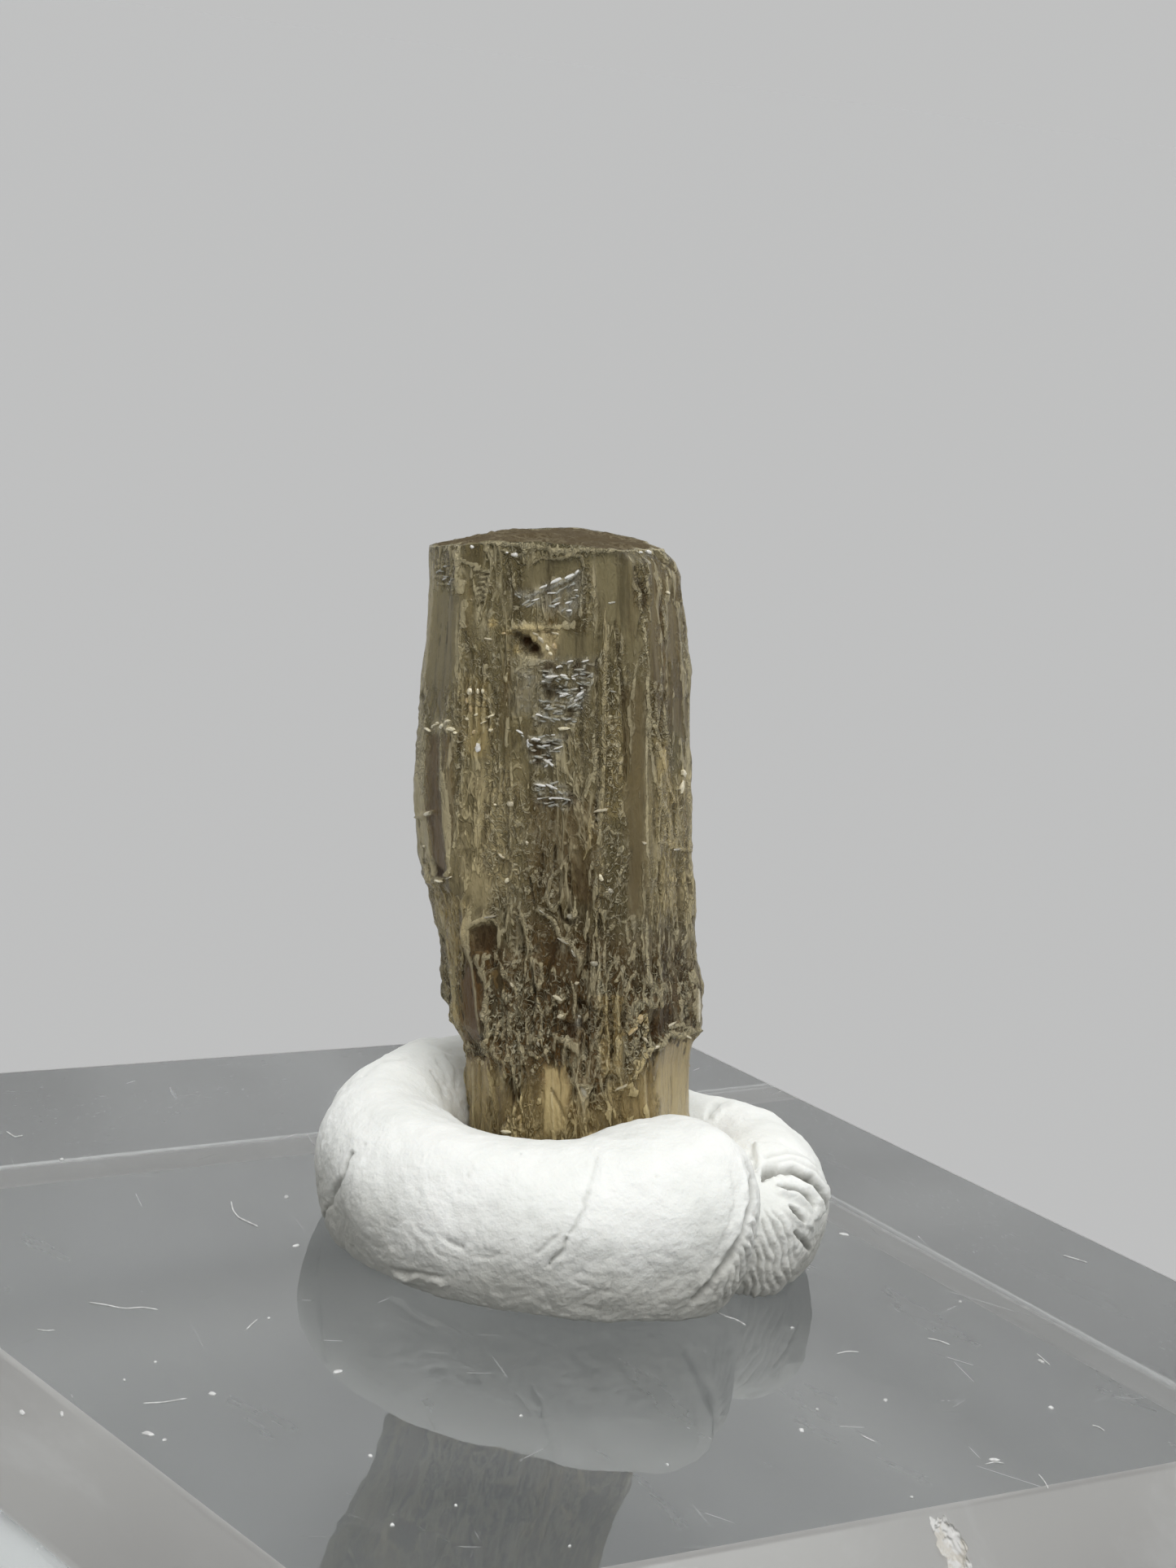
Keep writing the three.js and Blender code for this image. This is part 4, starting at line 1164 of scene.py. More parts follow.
# ---------------------------------------------------------------- putty
# One rolled sausage in two runs, with stations of (right, back, half width, height), in mm from the crystal.
FRONT_RUN = [
    (3.3, -4.6, 2.9, 6.4), (0.6, -6.1, 2.9, 5.8), (-2.5, -6.2, 2.8, 5.4), (-5.2, -4.9, 2.7, 5.3),
    (-6.8, -2.2, 2.6, 5.3), (-7.0, 0.8, 2.5, 5.5), (-5.9, 3.8, 2.5, 5.7),
]
BACK_RUN = [
    (-5.9, 3.8, 2.5, 5.7), (-3.4, 6.0, 2.4, 5.6), (0.0, 6.5, 2.3, 4.9), (3.3, 5.4, 2.3, 4.6),
    (5.7, 3.2, 2.45, 4.8), (6.4, 0.6, 2.5, 4.8), (5.8, -1.7, 2.4, 4.2),
]
BULGE, UNDERCUT = 0.48, 1.5
RUN_STEPS, RUN_SIDES, END_STEPS = 12, 64, 9
PUTTY_VOXEL, PUTTY_SOFTENING, PUTTY_KEPT = 0.088, 8, 0.72
SIGHT_BIN, SIGHT_MARGIN, SIGHT_SLACK = 8, 40, 1.2
LIP_LIFT, LIP_REACH = 0.60, 1.3
# Putty within PRESS_REACH of the crystal is drawn in. What was PRESS_FROM away or less ends PRESS_GAP away.
PRESS_REACH, PRESS_FROM, PRESS_GAP = 0.7, 0.05, 0.02
PUTTY_SHADE, PUTTY_WHITE = (0.82, 0.835, 0.80), (0.90, 0.91, 0.88)
# Both colours on the next line are painted shade: low down on the roll, and in its creases.
PUTTY_LOW_SHADE, PUTTY_CREASE_SHADE = (0.33, 0.315, 0.27), (0.20, 0.195, 0.17)
lump, peel, fold = (Noise(seed) for seed in (41, 42, 43))

# Creases and rolls on the side towards the camera, by pixels of the frame.
CREASES = []


def crease(half_width, depth, darkness, *points):
    """A crease through points, with its depth in mm and its darkness, which is painted shade. A negative
    depth is a raised roll.
    """
    CREASES.append((half_width, depth, darkness, in_pairs(points)))


crease(2.4, 0.08, 0.15, 733,1422, 729,1440, 722,1466)
crease(2.6, 0.14, 0.4, 722,1464, 717,1484, 707,1506, 699,1516)
crease(3.0, 0.17, 0.5, 696,1522, 690,1536, 680,1548, 673,1556)
crease(2.2, 0.08, 0.2, 686,1520, 672,1530, 658,1540)
crease(5.5, -0.05, 0.0, 742,1436, 735,1470, 726,1500, 708,1532)
crease(2.2, 0.15, 0.55, 433,1417, 424,1436, 411,1456, 402,1478, 397,1498)
crease(5.0, -0.04, 0.0, 444,1424, 430,1446, 417,1470, 408,1494)
crease(2.4, 0.08, 0.2, 546,1522, 556,1530, 568,1534)
crease(2.2, 0.05, 0.12, 590,1543, 602,1546, 616,1541)
crease(2.8, -0.1, 0.0, 486,1568, 500,1573, 512,1570)
crease(3.6, -0.11, 0.0, 524,1575, 534,1573, 542,1578)
crease(2.8, 0.11, 0.35, 484,1561, 500,1564, 522,1565, 544,1570)
crease(3.2, -0.12, 0.0, 480,1582, 496,1590, 514,1594)
crease(2.6, 0.08, 0.25, 484,1577, 506,1582, 530,1587)
# the end of the front run
crease(4.2, 0.24, 0.55, 918,1420, 926,1440, 928,1474, 917,1512, 896,1548, 872,1578, 852,1598)
crease(3.4, -0.08, 0.0, 908,1424, 917,1448, 918,1478, 906,1514, 884,1548, 860,1578)
crease(2.2, 0.05, 0.12, 899,1440, 905,1470, 896,1506, 880,1536)
crease(2.8, 0.12, 0.3, 868,1376, 873,1364, 884,1355, 902,1350, 918,1353)
crease(3.4, -0.07, 0.0, 876,1378, 886,1366, 904,1359, 922,1362)
# torn folds at the right, one over another
crease(4.6, 0.46, 1.0, 931,1446, 941,1440, 953,1441)
crease(3.2, 0.4, 1.0, 956,1441, 974,1443, 994,1451, 1008,1466, 1016,1488)
crease(3.6, -0.18, 0.0, 950,1451, 972,1450, 992,1459, 1004,1473, 1010,1490)
crease(2.6, 0.28, 0.85, 956,1459, 974,1462, 990,1470, 1000,1484)
crease(3.4, -0.1, 0.0, 958,1468, 976,1472, 990,1482, 998,1498)
crease(3.0, 0.34, 1.0, 968,1484, 978,1490, 988,1502)
crease(2.6, 0.28, 0.9, 980,1514, 990,1524, 998,1538)
crease(2.2, 0.07, 0.2, 938,1427, 962,1421, 988,1428, 1008,1443)
crease(2.0, 0.06, 0.2, 944,1434, 972,1431, 998,1441, 1012,1456)
crease(2.2, 0.05, 0.1, 912,1376, 940,1376, 966,1388, 986,1404)
crease(2.0, 0.06, 0.15, 538,1300, 548,1314, 552,1334)
crease(2.0, 0.06, 0.15, 549,1296, 561,1312, 563,1338)
crease(2.0, 0.06, 0.2, 530,1314, 541,1330, 549,1346)
crease(2.0, 0.04, 0.1, 446,1322, 470,1306, 500,1300)
crease(2.0, 0.05, 0.1, 424,1338, 436,1328, 450,1322)
crease(1.8, 0.05, 0.1, 520,1279, 536,1284, 556,1294)
crease(2.4, 0.1, 0.2, 482,1292, 494,1284, 512,1280)

# Torn flaps, one over another: (lift in mm, outline).
PUTTY_FLAPS = [
    (0.22, [(926, 1408), (960, 1412), (998, 1430), (1022, 1466), (1016, 1490), (1006, 1466), (992, 1452),
            (972, 1445), (950, 1443), (930, 1447)]),
    (0.15, [(948, 1453), (972, 1452), (992, 1460), (1005, 1475), (1010, 1496), (1000, 1500), (990, 1484),
            (974, 1473), (954, 1468)]),
    (0.13, [(962, 1480), (982, 1482), (998, 1498), (1002, 1512), (988, 1506), (968, 1494)]),
]
FLAP_SOFT = 2.6
# Pores: (across, down, size).
PUTTY_PORES = [(575, 1444, 2.8), (563, 1465, 2.2), (448, 1406, 1.8), (514, 1478, 1.6), (640, 1418, 1.5),
               (806, 1447, 1.8)]
PRINT_AREA = [(922, 1498), (940, 1488), (962, 1490), (976, 1512), (984, 1540), (972, 1572), (936, 1594),
              (884, 1600), (876, 1588), (900, 1556)]
PRINT_CENTRE, PRINT_PERIOD, PRINT_SOFT = (868, 1577), 10.2, 9


def smooth_path(stations):
    """A curve through the stations, by the centripetal Catmull-Rom rule, with its directions."""
    stations = np.array(stations)
    ends = np.vstack([2 * stations[0] - stations[1], stations, 2 * stations[-1] - stations[-2]])
    made = []
    for four in zip(ends, ends[1:], ends[2:], ends[3:]):
        def cubic(keep, t):
            a, b, c, d = (station[keep] for station in four)
            s0, s1, s2 = (max(np.linalg.norm(gap), 1e-4) ** 0.5 for gap in (b - a, c - b, d - c))
            out = ((b - a) / s0 - (c - a) / (s0 + s1) + (c - b) / s1) * s1
            back = ((c - b) / s1 - (d - b) / (s1 + s2) + (d - c) / s2) * s1
            return b + out * t + (3 * (c - b) - 2 * out - back) * t**2 + (2 * (b - c) + out + back) * t**3
        for t in np.arange(RUN_STEPS) / RUN_STEPS:
            made.append(np.concatenate([cubic([0, 1], t), cubic([2, 3], t)]))
    made = np.array([*made, stations[-1]])
    way = np.gradient(made[:, :2], axis=0)
    return made, way / np.linalg.norm(way, axis=1, keepdims=True)


def run_mesh(stations):
    """Points and faces of one run: a flat-bottomed round section swept along its path, with round ends."""
    path, way = smooth_path(stations)
    turn = TAU * np.arange(RUN_SIDES) / RUN_SIDES

    def section(at, ahead, shift, shrink):
        width, tall = at[2:]
        middle = BULGE * tall
        rise = np.sin(turn) * shrink
        across = np.array([-ahead[1], ahead[0]])
        flat = at[:2] + ahead * shift * width + np.outer(np.cos(turn) * shrink * width, across)
        z = np.maximum(0, middle + rise * np.where(rise > 0, tall - middle, middle * UNDERCUT))
        return np.column_stack([flat, z])

    bends = [i / (END_STEPS + 1) * math.pi / 2 for i in range(1, END_STEPS + 1)]
    rings = [section(path[0], way[0], -math.cos(bend), math.sin(bend)) for bend in bends]
    rings += [section(at, ahead, 0, 1) for at, ahead in zip(path, way)]
    rings += [section(path[-1], way[-1], math.cos(bend), math.sin(bend)) for bend in reversed(bends)]
    tips = [np.append(path[i][:2] + sign * way[i] * path[i][2], BULGE * path[i][3])
            for i, sign in ((0, -1), (-1, 1))]
    count = len(rings) * RUN_SIDES
    faces = tube_faces(len(rings), RUN_SIDES)
    faces += fan(count, 0, RUN_SIDES, turned=True) + fan(count + 1, count - RUN_SIDES, RUN_SIDES)
    return np.vstack(rings + tips), faces


def putty_blank(material):
    """The mesh of the plain roll, its two runs grown into one."""
    points, faces = [], []
    for stations in (FRONT_RUN, BACK_RUN):
        run_points, run_faces = run_mesh(stations)
        faces += [tuple(len(points) + i for i in face) for face in run_faces]
        points += list(run_points)
    blank = add_mesh("blank", from_specimen(np.array(points) + LIFT), faces, material)
    modify(blank, "REMESH", mode="VOXEL", voxel_size=PUTTY_VOXEL * MM)
    modify(blank, "SMOOTH", iterations=PUTTY_SOFTENING, factor=0.5)
    mesh = made_real(blank)
    bpy.data.objects.remove(blank)
    return mesh


def putty_relief(p, normal):
    """How far the kneaded surface stands off the plain roll at points p of it, in mm, and how dark it is:
    painted shade in its creases, wrinkles, pores and the grooves of the fingerprint.
    """
    u, v, depth = to_frame(p)

    # What the camera can see: nearer than anything else in its few pixels, give or take a millimetre.
    across, down = (u / SIGHT_BIN).astype(int), (v / SIGHT_BIN).astype(int)
    nearest = np.full((FRAME_W // SIGHT_BIN + SIGHT_MARGIN, FRAME_H // SIGHT_BIN + SIGHT_MARGIN), np.inf)
    np.minimum.at(nearest, (across, down), depth)
    seen = smooth(0.0, 0.25, -(normal @ FORWARD)) * (depth < nearest[across, down] + SIGHT_SLACK)
    chosen = np.flatnonzero(seen > 0)
    near, cu, cv, cs = p[chosen], u[chosen], v[chosen], seen[chosen]

    # Lumps all over, with leathery wrinkles that are deeper low down and carry painted shade there.
    height = 0.13 * lump(p * 0.40) + 0.05 * lump(p * 0.95 + 9) + 0.022 * lump(p * 2.0 + 5)
    height += 0.018 * peel(p * 3.0) + 0.010 * peel(p * 5.5)
    low = smooth(4.4, 1.8, p[:, 2] - BLOCK_HEIGHT)
    bent = p + 0.7 * lump(p * 0.6)[:, None] * (1.0, -0.6, 0.8)
    leather, wrinkle = fold(bent * (1.15, 1.15, 1.5) + 12), fold(bent * (2.3, 2.3, 2.9) + 33)
    some = np.clip(0.55 + 1.1 * lump(p * 0.55 + 21), 0.1, 1.2)
    height -= (0.008 + 0.026 * low) * some * bell(leather, 0.16)
    height -= (0.006 + 0.018 * low) * bell(wrinkle, 0.18)
    dark = low * (0.09 * some * bell(leather, 0.10) + 0.06 * bell(wrinkle, 0.12))

    def mark(share, lift, darkness=0.0):
        height[chosen] += lift * share
        dark[chosen] = np.maximum(dark[chosen], darkness * np.minimum(share, 1))

    # What is placed by pixels, with painted shade in the creases and pores.
    jog, uneven = 2.6 * fold(near * (1.9, 1.9, 2.4) + 40), 0.35 * peel(near * 1.7)
    strength = np.clip(1 + 0.5 * peel(near * 1.1 + 8), 0.4, 1.3)
    for half_width, deep, darkness, points in CREASES:
        far, along = line_distance(cu + jog, cv + jog, points)
        taper = tapered(half_width, along, 5, 0.6, uneven)
        mark(bell(far, np.maximum(taper, 0.8)) * cs * strength, -deep, darkness)
    sway = 2.5 * fold(near * 1.3 + 15)
    for lift, outline in PUTTY_FLAPS:
        mark(patch(cu + sway, cv + sway, outline, FLAP_SOFT) * cs, lift)
    for *at, size in PUTTY_PORES:
        mark(spot(cu, cv, at, (size, size)) * cs, -0.05, 0.25)

    # The fingerprint, with painted shade in its grooves.
    printed = patch(cu, cv, PRINT_AREA, PRINT_SOFT) * cs
    away = np.hypot(cu - PRINT_CENTRE[0], 0.75 * (cv - PRINT_CENTRE[1]))
    away += 7 * fold(near * 0.9 + 70) + 2.5 * peel(near * 2.2 + 11)
    swing = np.cos(TAU * away / PRINT_PERIOD)
    height[chosen] += 0.060 * printed * swing * np.clip(0.8 + 0.8 * fold(near * 1.4 + 90), 0.2, 1.3)
    dark[chosen] = np.maximum(dark[chosen], 0.5 * printed * np.clip(-swing, 0, 1))
    return height, dark


def round_crystal(c):
    """The angle and the distance of points from the crystal's axis, by its own axes."""
    return np.arctan2(c[:, 0], -c[:, 1]), np.hypot(c[:, 0], c[:, 1])


def raised_lip(p):
    """The putty's points, with the lip in front of the crystal standing a little higher."""
    c = to_crystal(p)
    angle, reach = round_crystal(c)
    gap = np.maximum(reach - prism_radius(angle, np.clip(c[:, 2], 0, CRYSTAL_TOP)), 0)
    lift = LIP_LIFT * bell(gap, LIP_REACH) * smooth(3.0, 4.6, p[:, 2] - BLOCK_HEIGHT)
    return p + (lift * smooth(-0.1, 0.5, np.cos(angle)))[:, None] * UP


def pressed_on_crystal(p, radii):
    """The putty's points, with the inner wall pressed against the crystal, whose radii are given by rows."""
    c = to_crystal(p)
    angle, reach = round_crystal(c)
    foot = crystal_foot(c[:, 0])
    part = (c[:, 2] - foot) / (crystal_top(c[:, 0], c[:, 1]) - foot)
    column = np.searchsorted(ANGLES, angle % TAU) % CRYSTAL_COLUMNS
    row = np.clip(np.searchsorted(PARTS, part), 0, len(PARTS) - 1)
    wall = radii[row, column]
    gap = reach - wall
    drawn = (PRESS_REACH - PRESS_GAP) / (PRESS_REACH - PRESS_FROM)
    gap = np.where(gap < PRESS_REACH, PRESS_GAP + np.maximum(gap - PRESS_FROM, 0) * drawn, gap)
    c[:, :2] *= ((wall + gap) / np.maximum(reach, 1e-6))[:, None]
    p = from_crystal(c)
    p[:, 2] = np.maximum(p[:, 2], BLOCK_HEIGHT)
    return p


def build_putty(material, radii):
    mesh = putty_blank(material)
    p, normal = read_mesh(mesh)
    height, dark = putty_relief(p, normal)
    p = pressed_on_crystal(raised_lip(p + normal * height[:, None]), radii)
    mesh.vertices.foreach_set("co", (p * MM).astype(np.float32).ravel())
    mesh.polygons.foreach_set("use_smooth", [True] * len(mesh.polygons))
    mesh.materials.clear()
    mesh.materials.append(material)
    # The crease attribute holds the painted shade.
    add_attribute(mesh, "crease", dark)
    mesh.update()
    mesh.name = "putty_kneaded"
    obj = link("putty_kneaded", mesh)

    # Fewer triangles where the surface is plain, as under the roll.
    modify(obj, "DECIMATE", ratio=PUTTY_KEPT)
    keep_shape(obj)
    return obj


def putty_material():
    m = Nodes("white_putty")
    place = m.place()
    tone = m.noise(place, 260.0, 4.0, 0.6)
    # Darker towards the bottom of the roll: painted shade.
    low_shade = m.ramp(m.level(place) + (tone - 0.5) * 0.003, 0.0232, 0.0196)
    colour = m.mix(m.ramp(tone, 0.35, 0.7), PUTTY_SHADE, PUTTY_WHITE)
    colour = m.mix(low_shade * 0.62, colour, PUTTY_LOW_SHADE)
    # painted shade in creases, wrinkles, pores and the fingerprint's grooves
    m.set(Base_Color=m.mix(m.attribute("crease"), colour, PUTTY_CREASE_SHADE),
          Roughness=m.ramp(tone, 0.3, 0.7, 0.72, 0.9), Specular_IOR_Level=0.35,
          Subsurface_Weight=0.08, Subsurface_Radius=(0.0006, 0.0005, 0.0004), Subsurface_Scale=1.0)
    m.bump(m.noise(place, 2200.0, 3.0, 0.6) + m.noise(place, 7000.0, 2.0, 0.5), 0.00004, 0.8)
    return m.material


# ---------------------------------------------------------------- block
ACRYLIC_IOR = 1.49
POLISHED, BEVEL, CHIPPED, SOLE = range(4)
SQUARE = ((-1, -1), (1, -1), (1, 1), (-1, 1))
EDGE_ROUNDING, LEVEL_ENOUGH = 0.16, 0.995
# The chip runs down the bevel between these two pixels of the frame; the other sizes are in mm.
CHIP_FROM, CHIP_TO = (1152.0, 1864.0), (1188.0, 1938.0)
CHIP_HALF_WIDTH, CHIP_DEPTH, CHIP_RAISED = 0.56, 0.30, 0.03


def hairlines(m, place):
    """Fine straight scratches in four directions."""
    scratch = 0.0
    for i, stretch in enumerate(((1.0, 0.03, 1.0), (0.025, 1.0, 1.0), (0.8, 0.05, 1.0), (0.05, 0.9, 1.0))):
        turned = m.mapped(place, Rotation=(0.0, 0.0, 0.35 + 0.8 * i), Location=(0.013 * i, 0.007 * i, 0.0))
        mark = m.noise(m.mapped(turned, Scale=stretch), 5200.0, 1.0, 0.4, 0.08)
        scratch = m.most(m.ramp(mark, 0.735, 0.790), scratch)
    return scratch


def acrylic_material(name, finish):
    """Acrylic: polished with haze and fine scratches, satin on the bevels, scuffed under, rough in a chip."""
    m = Nodes(name)
    place = m.place()
    smear = m.ramp(m.noise(m.mapped(place, Scale=(1.0, 0.35, 1.0)), 260.0, 5.0, 0.65, 0.6), 0.46, 0.74)
    if finish == BEVEL:
        m.set(Base_Color=m.mix(smear, (0.74, 0.725, 0.70), (0.84, 0.83, 0.81)),
              Roughness=m.blend(smear, 0.29, 0.33), Transmission_Weight=0.72)
        m.bump(m.noise(place, 180.0), 0.00002, 0.5)
    elif finish == SOLE:
        m.set(Base_Color=(0.95, 0.96, 0.96), Roughness=m.blend(smear, 0.20, 0.30), Transmission_Weight=0.97)
        m.bump(m.noise(place, 140.0), 0.00002, 0.4)
    elif finish == CHIPPED:
        flaky = m.noise(place, 1700.0, 4.0, 0.65, 0.4)
        m.set(Base_Color=m.mix(m.ramp(flaky, 0.42, 0.56), (0.83, 0.79, 0.71), (0.95, 0.94, 0.91)),
              Roughness=0.38, Transmission_Weight=0.45)
        m.bump(flaky, 0.00006, 0.8)
    else:
        marks = hairlines(m, place) * m.ramp(m.noise(place, 150.0), 0.42, 0.60)
        rough = m.math("ADD", m.blend(smear, 0.012, 0.070), marks * 0.28, clamp=True)
        m.set(Base_Color=(0.985, 0.99, 0.992), Roughness=rough, Transmission_Weight=1.0 - marks * 0.16)
    m.set(IOR=ACRYLIC_IOR)
    m.absorb((0.90, 0.96, 0.95), 9.0)
    return m.material


def on_block(u, v):
    """Where the line of sight through a pixel of the frame meets the block, and which way the face looks."""
    way = FORWARD + RIGHT * (u - FRAME_W / 2) / FOCAL + DOWN * (v - FRAME_H / 2) / FOCAL
    half = BLOCK_SIDE / 2
    planes = [((0, 0, 1), BLOCK_HEIGHT)]
    for x, y in ((1, 0), (-1, 0), (0, 1), (0, -1)):
        planes += [((x, y, 0), half), ((x, y, 1), half + BLOCK_HEIGHT - TOP_BEVEL)]
    enter, face = -1.0, None
    for normal, offset in planes:
        toward = way @ normal
        if toward < 0 and (offset - CAMERA_AT @ normal) / toward > enter:
            enter, face = (offset - CAMERA_AT @ normal) / toward, normal / np.linalg.norm(normal)
    return CAMERA_AT + way * enter, face


def block_blank():
    """The block with its bevels and slightly rounded edges, each face marked with its finish."""
    bm = bmesh.new()
    shoulder, rings = BLOCK_HEIGHT - TOP_BEVEL, []
    for inset, z in ((FOOT_CHAMFER, 0), (0, FOOT_CHAMFER), (0, shoulder), (TOP_BEVEL, BLOCK_HEIGHT)):
        h = (BLOCK_SIDE / 2 - inset) * MM
        rings.append([bm.verts.new((x * h, y * h, z * MM)) for x, y in SQUARE])
    for low, high in zip(rings, rings[1:]):
        for i in range(4):
            bm.faces.new((low[i], low[(i + 1) % 4], high[(i + 1) % 4], high[i]))
    bm.faces.new(reversed(rings[0]))
    bm.faces.new(rings[-1])
    bmesh.ops.bevel(bm, geom=bm.edges[:], offset=EDGE_ROUNDING * MM, segments=3, profile=0.5, affect="EDGES")
    bm.normal_update()
    for face in bm.faces:
        face.smooth = True
        face.material_index = POLISHED if max(abs(c) for c in face.normal) > LEVEL_ENOUGH else BEVEL
        if face.normal.z < -LEVEL_ENOUGH:
            face.material_index = SOLE
    return bm


def chip_bite():
    """What the chip takes out of the block's edge, with shell-like waves."""
    start, face = on_block(*CHIP_FROM)
    end, _ = on_block(*CHIP_TO)
    at, along = (start + end) / 2 + face * CHIP_RAISED, end - start
    reach = np.linalg.norm(along) / 2
    along /= 2 * reach
    beside = np.cross(face, along)
    ripple = Noise(71)
    bm = bmesh.new()
    bmesh.ops.create_icosphere(bm, subdivisions=5, radius=1.0)
    for vert in bm.verts:
        ball = np.array(vert.co)
        swell = 1 + 0.06 * math.cos(9 * ball[0] + 5 * ball[1])
        swell += 0.26 * ripple((ball * 1.9)[None])[0] + 0.20 * ripple((ball * 5.0 + 4)[None])[0]
        out = along * ball[0] * reach + beside * ball[1] * CHIP_HALF_WIDTH + face * ball[2] * CHIP_DEPTH
        vert.co = Vector((at + out * swell) * MM)
    for part in bm.faces:
        part.material_index = CHIPPED
    return bm


def build_block(materials):
    obj = add_bmesh("polished_block", block_blank(), materials)
    bite = add_bmesh("bite", chip_bite(), materials)
    modify(obj, "BOOLEAN", operation="DIFFERENCE", solver="EXACT", object=bite)
    modify(obj, "WEIGHTED_NORMAL", keep_sharp=False, weight=100)
    keep_shape(obj)
    bpy.data.objects.remove(bite)
    return obj


# ---------------------------------------------------------------- dust on the block
# Specks by pixels of the frame: (across, down, half length, half width, turn in degrees).
SPECKS = [
    (27, 1736, 4.3, 3.3, 0), (76, 1738, 3.6, 2.6, 30), (191, 1674, 2.2, 1.3, 0), (153, 1696, 2.2, 1.3, 40),
    (261, 1713, 5, 2.6, 10), (182, 1762, 7.9, 2.6, 12), (202, 1770, 3.6, 2, 0), (415, 1686, 5.8, 2.6, -10),
    (455, 1789, 2.9, 2, 20), (482, 1874, 2.9, 2, 0), (352, 1471, 3.6, 2.6, 20), (364, 1531, 4.3, 2, -20),
    (1037, 1517, 5.8, 2, 5), (1291, 1730, 3.6, 2.6, 0), (985, 1758, 3.6, 2.6, 20),
    (1004, 1732, 2.2, 1.3, 0), (1088, 1721, 2.9, 2, 0), (1221, 1794, 7.9, 2, 5), (1279, 1673, 4.3, 2, 30),
    (973, 1632, 2.9, 1.3, 0), (76, 1425, 2.9, 2, 0), (640, 1740, 2.2, 1.3, 0), (820, 1800, 2.2, 1.3, 20),
    (1120, 1840, 2.2, 1.3, 0), (330, 1620, 2.2, 1.3, 0), (560, 1850, 2.2, 1.3, 30),
    (1180, 1600, 2.2, 1.3, 0), (700, 1900, 2.2, 1.3, 0),
]
LINT = []
LINT_SIDES = 6


def fibre(radius, *points):
    """A fibre through points, by pixels of the frame, with its radius in mm."""
    LINT.append((radius, in_pairs(points)))


fibre(0.03, 284,1477, 286,1488, 293,1497, 304,1502, 317,1508)
fibre(0.024, 109,1601, 130,1604, 152,1609, 175,1607, 194,1610)
fibre(0.02, 45,1634, 56,1636, 67,1635)
fibre(0.022, 176,1725, 200,1724, 230,1719)
fibre(0.024, 303,1634, 309,1628, 316,1622)
fibre(0.026, 8,1391, 18,1398, 28,1396)
fibre(0.022, 1140,1645, 1154,1648, 1167,1653)
fibre(0.022, 1028,1664, 1042,1661, 1055,1662)
fibre(0.028, 877,1611, 890,1618, 904,1622, 916,1629)
fibre(0.022, 1342,1752, 1350,1754, 1357,1759)
fibre(0.024, 1306,1543, 1320,1547, 1336,1552)
fibre(0.022, 1274,1664, 1283,1672, 1290,1678)
fibre(0.022, 1276,1812, 1284,1822, 1288,1830)
fibre(0.022, 1058,1764, 1066,1768, 1076,1773)
fibre(0.02, 1210,1800, 1222,1797, 1234,1799)


def build_lint(material):
    points, faces = [], []
    for radius, route in LINT:
        route = np.array([on_block(*pixel)[0] for pixel in route])
        count = 5 * len(route)
        parts = np.linspace(0, len(route) - 1, count)
        fine = np.stack([np.interp(parts, np.arange(len(route)), way) for way in route.T], axis=1)
        for _ in range(3):
            fine[1:-1] = (fine[:-2] + 2 * fine[1:-1] + fine[2:]) / 4
        start = len(points)
        for i, at in enumerate(fine):
            way = fine[min(i + 1, count - 1)] - fine[max(i - 1, 0)]
            side = np.cross(way, UP)
            side /= np.linalg.norm(side)
            thin = radius * (0.35 if i in (0, count - 1) else 1.0)
            for t in TAU * np.arange(LINT_SIDES) / LINT_SIDES:
                points.append(at + UP * (0.6 * radius + thin * math.sin(t)) + side * thin * math.cos(t))
        faces += tube_faces(count, LINT_SIDES, start)
        faces.append(tuple(reversed(range(start, start + LINT_SIDES))))
        faces.append(tuple(range(len(points) - LINT_SIDES, len(points))))
    return add_mesh("lint", points, faces, material)


def dust_material():
    m = Nodes("dust")
    mottle = m.noise(m.place(), 4200.0, 3.0, 0.6)
    m.set(Base_Color=m.mix(m.ramp(mottle, 0.35, 0.65), (0.50, 0.50, 0.49), (0.74, 0.74, 0.73)),
          Roughness=m.ramp(mottle, 0.3, 0.7, 0.6, 0.85))
    m.bump(mottle, 0.00002, 0.6)
    return m.material


# ---------------------------------------------------------------- stage
FLOOR_Z, FLOOR_REACH, FLOOR_SIDES = -0.05, 6e3, 96
FLOOR_TONE, SKY_TONE = (0.4629, 0.4648, 0.4650), (0.995, 1.0, 0.998, 1.0)
HORIZON, ZENITH = 0.53, 0.40
LIGHT_BOUNCES = 24


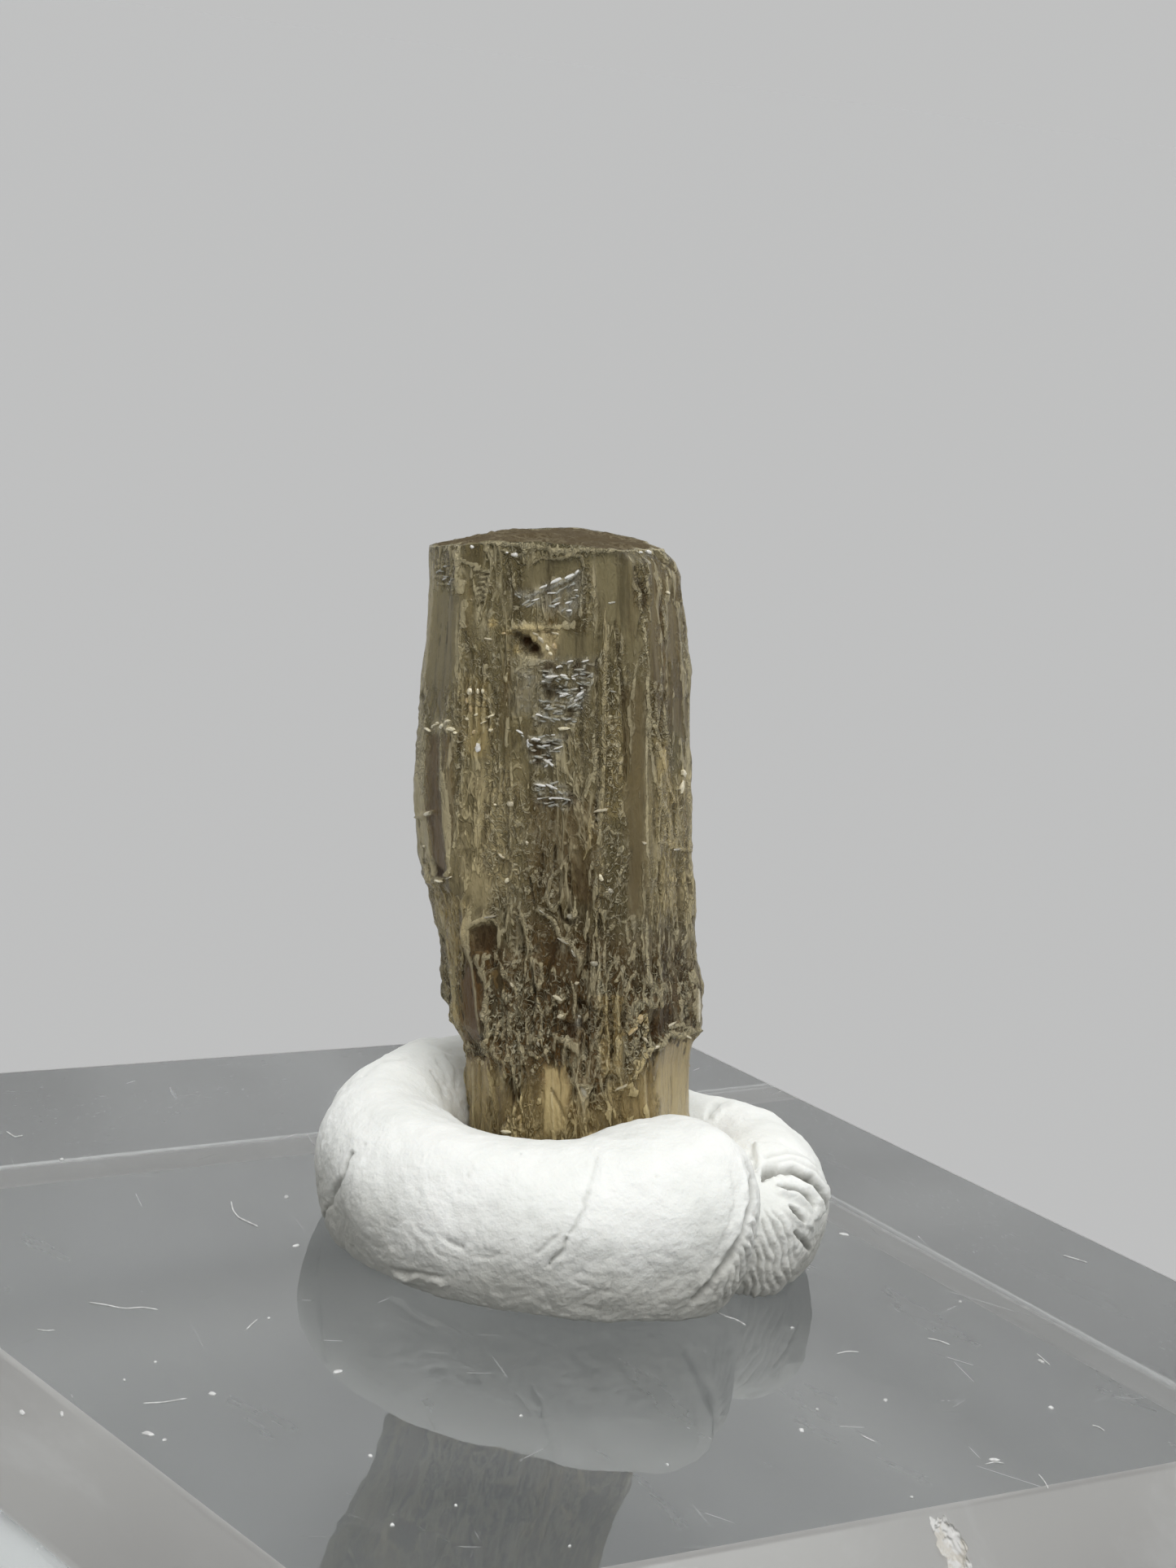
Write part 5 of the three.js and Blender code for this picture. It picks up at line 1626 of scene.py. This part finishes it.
def build_stage():
    """A wide pale floor that runs into a pale sky of the same tone."""
    m = Nodes("pale_floor")
    m.set(Base_Color=FLOOR_TONE, Roughness=0.9, Specular_IOR_Level=0.1)
    around = TAU * np.arange(FLOOR_SIDES) / FLOOR_SIDES
    points = [(FLOOR_REACH * math.cos(t), FLOOR_REACH * math.sin(t), FLOOR_Z) for t in around]
    floor = add_mesh("floor", points, [tuple(range(FLOOR_SIDES))], m.material, shade_smooth=False)

    sky = bpy.data.worlds.new("studio")
    sky.use_nodes = True
    tree = sky.node_tree
    kinds = "TexCoord", "SeparateXYZ", "MapRange"
    place, split, rise = (tree.nodes.new("ShaderNode" + kind) for kind in kinds)
    background = tree.nodes["Background"].inputs
    rise.interpolation_type = "SMOOTHSTEP"
    for key, number in (("From Min", 0.05), ("From Max", 0.75), ("To Min", HORIZON), ("To Max", ZENITH)):
        rise.inputs[key].default_value = number
    tree.links.new(place.outputs["Generated"], split.inputs[0])
    tree.links.new(split.outputs["Z"], rise.inputs["Value"])
    tree.links.new(rise.outputs["Result"], background["Strength"])
    background["Color"].default_value = SKY_TONE
    scene = bpy.context.scene
    scene.world = sky
    scene.view_settings.view_transform = "Standard"
    scene.cycles.max_bounces = scene.cycles.transmission_bounces = LIGHT_BOUNCES


def soft_sun(name, come_from, spread, strength):
    """A sun that shines from a direction, spread over some degrees."""
    data = bpy.data.lights.new(name, "SUN")
    data.angle, data.energy = math.radians(spread), strength
    link(name, data).rotation_euler = Vector(come_from).to_track_quat("Z", "Y").to_euler()


make_camera()
build_stage()
soft_sun("key", (-0.42, -0.70, 1.40), 34, 2.105)
soft_sun("fill", (0.9, -0.6, 0.6), 60, 0.25)
soft_sun("rim", (0.5, 1.0, 0.7), 100, 0.45)

block = build_block([
    acrylic_material("clear_acrylic", POLISHED),
    acrylic_material("clear_acrylic_bevel", BEVEL),
    acrylic_material("clear_acrylic_chip", CHIPPED),
    acrylic_material("clear_acrylic_sole", SOLE),
])
dust = dust_material()
specks = build_flakes("dust_specks", on_block, [(*speck, "D") for speck in SPECKS], "D", dust, 63, 0.5)
lint = build_lint(dust)
crystal, crystal_radii = build_crystal(crystal_material())
putty = build_putty(putty_material(), crystal_radii)
skin = Skin(crystal)
bright = build_flakes("bright_flakes", skin.at, FLAKES + crowded_flakes(), "WS",
                      flake_material("bright_flake", SHEEN_GREY, GLINT_WHITE, 0.10), 61)
pale = build_flakes("cream_flakes", skin.at, FLAKES, "CG",
                    flake_material("cream_flake", FLAKE_GOLD, CREAM, 0.15), 62)
tan = build_flakes("tan_flakes", skin.at, FLAKES, "PT",
                   flake_material("tan_flake", DULL_TAN, PALE_TAN, 0.12), 65)
blades = build_blades(skin, blade_material())

for piece, node, slot in (
    (block, "display_block", "clear_acrylic"),
    (crystal, "scapolite", "scapolite"),
    (putty, "putty_ring", "white_putty"),
):
    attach(piece, "root")
    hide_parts(node)

for piece, slot in ((bright, "scapolite"), (pale, "scapolite"), (tan, "scapolite"), (blades, "scapolite"),
                    (specks, "clear_acrylic"), (lint, "clear_acrylic")):
    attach(piece, "root")
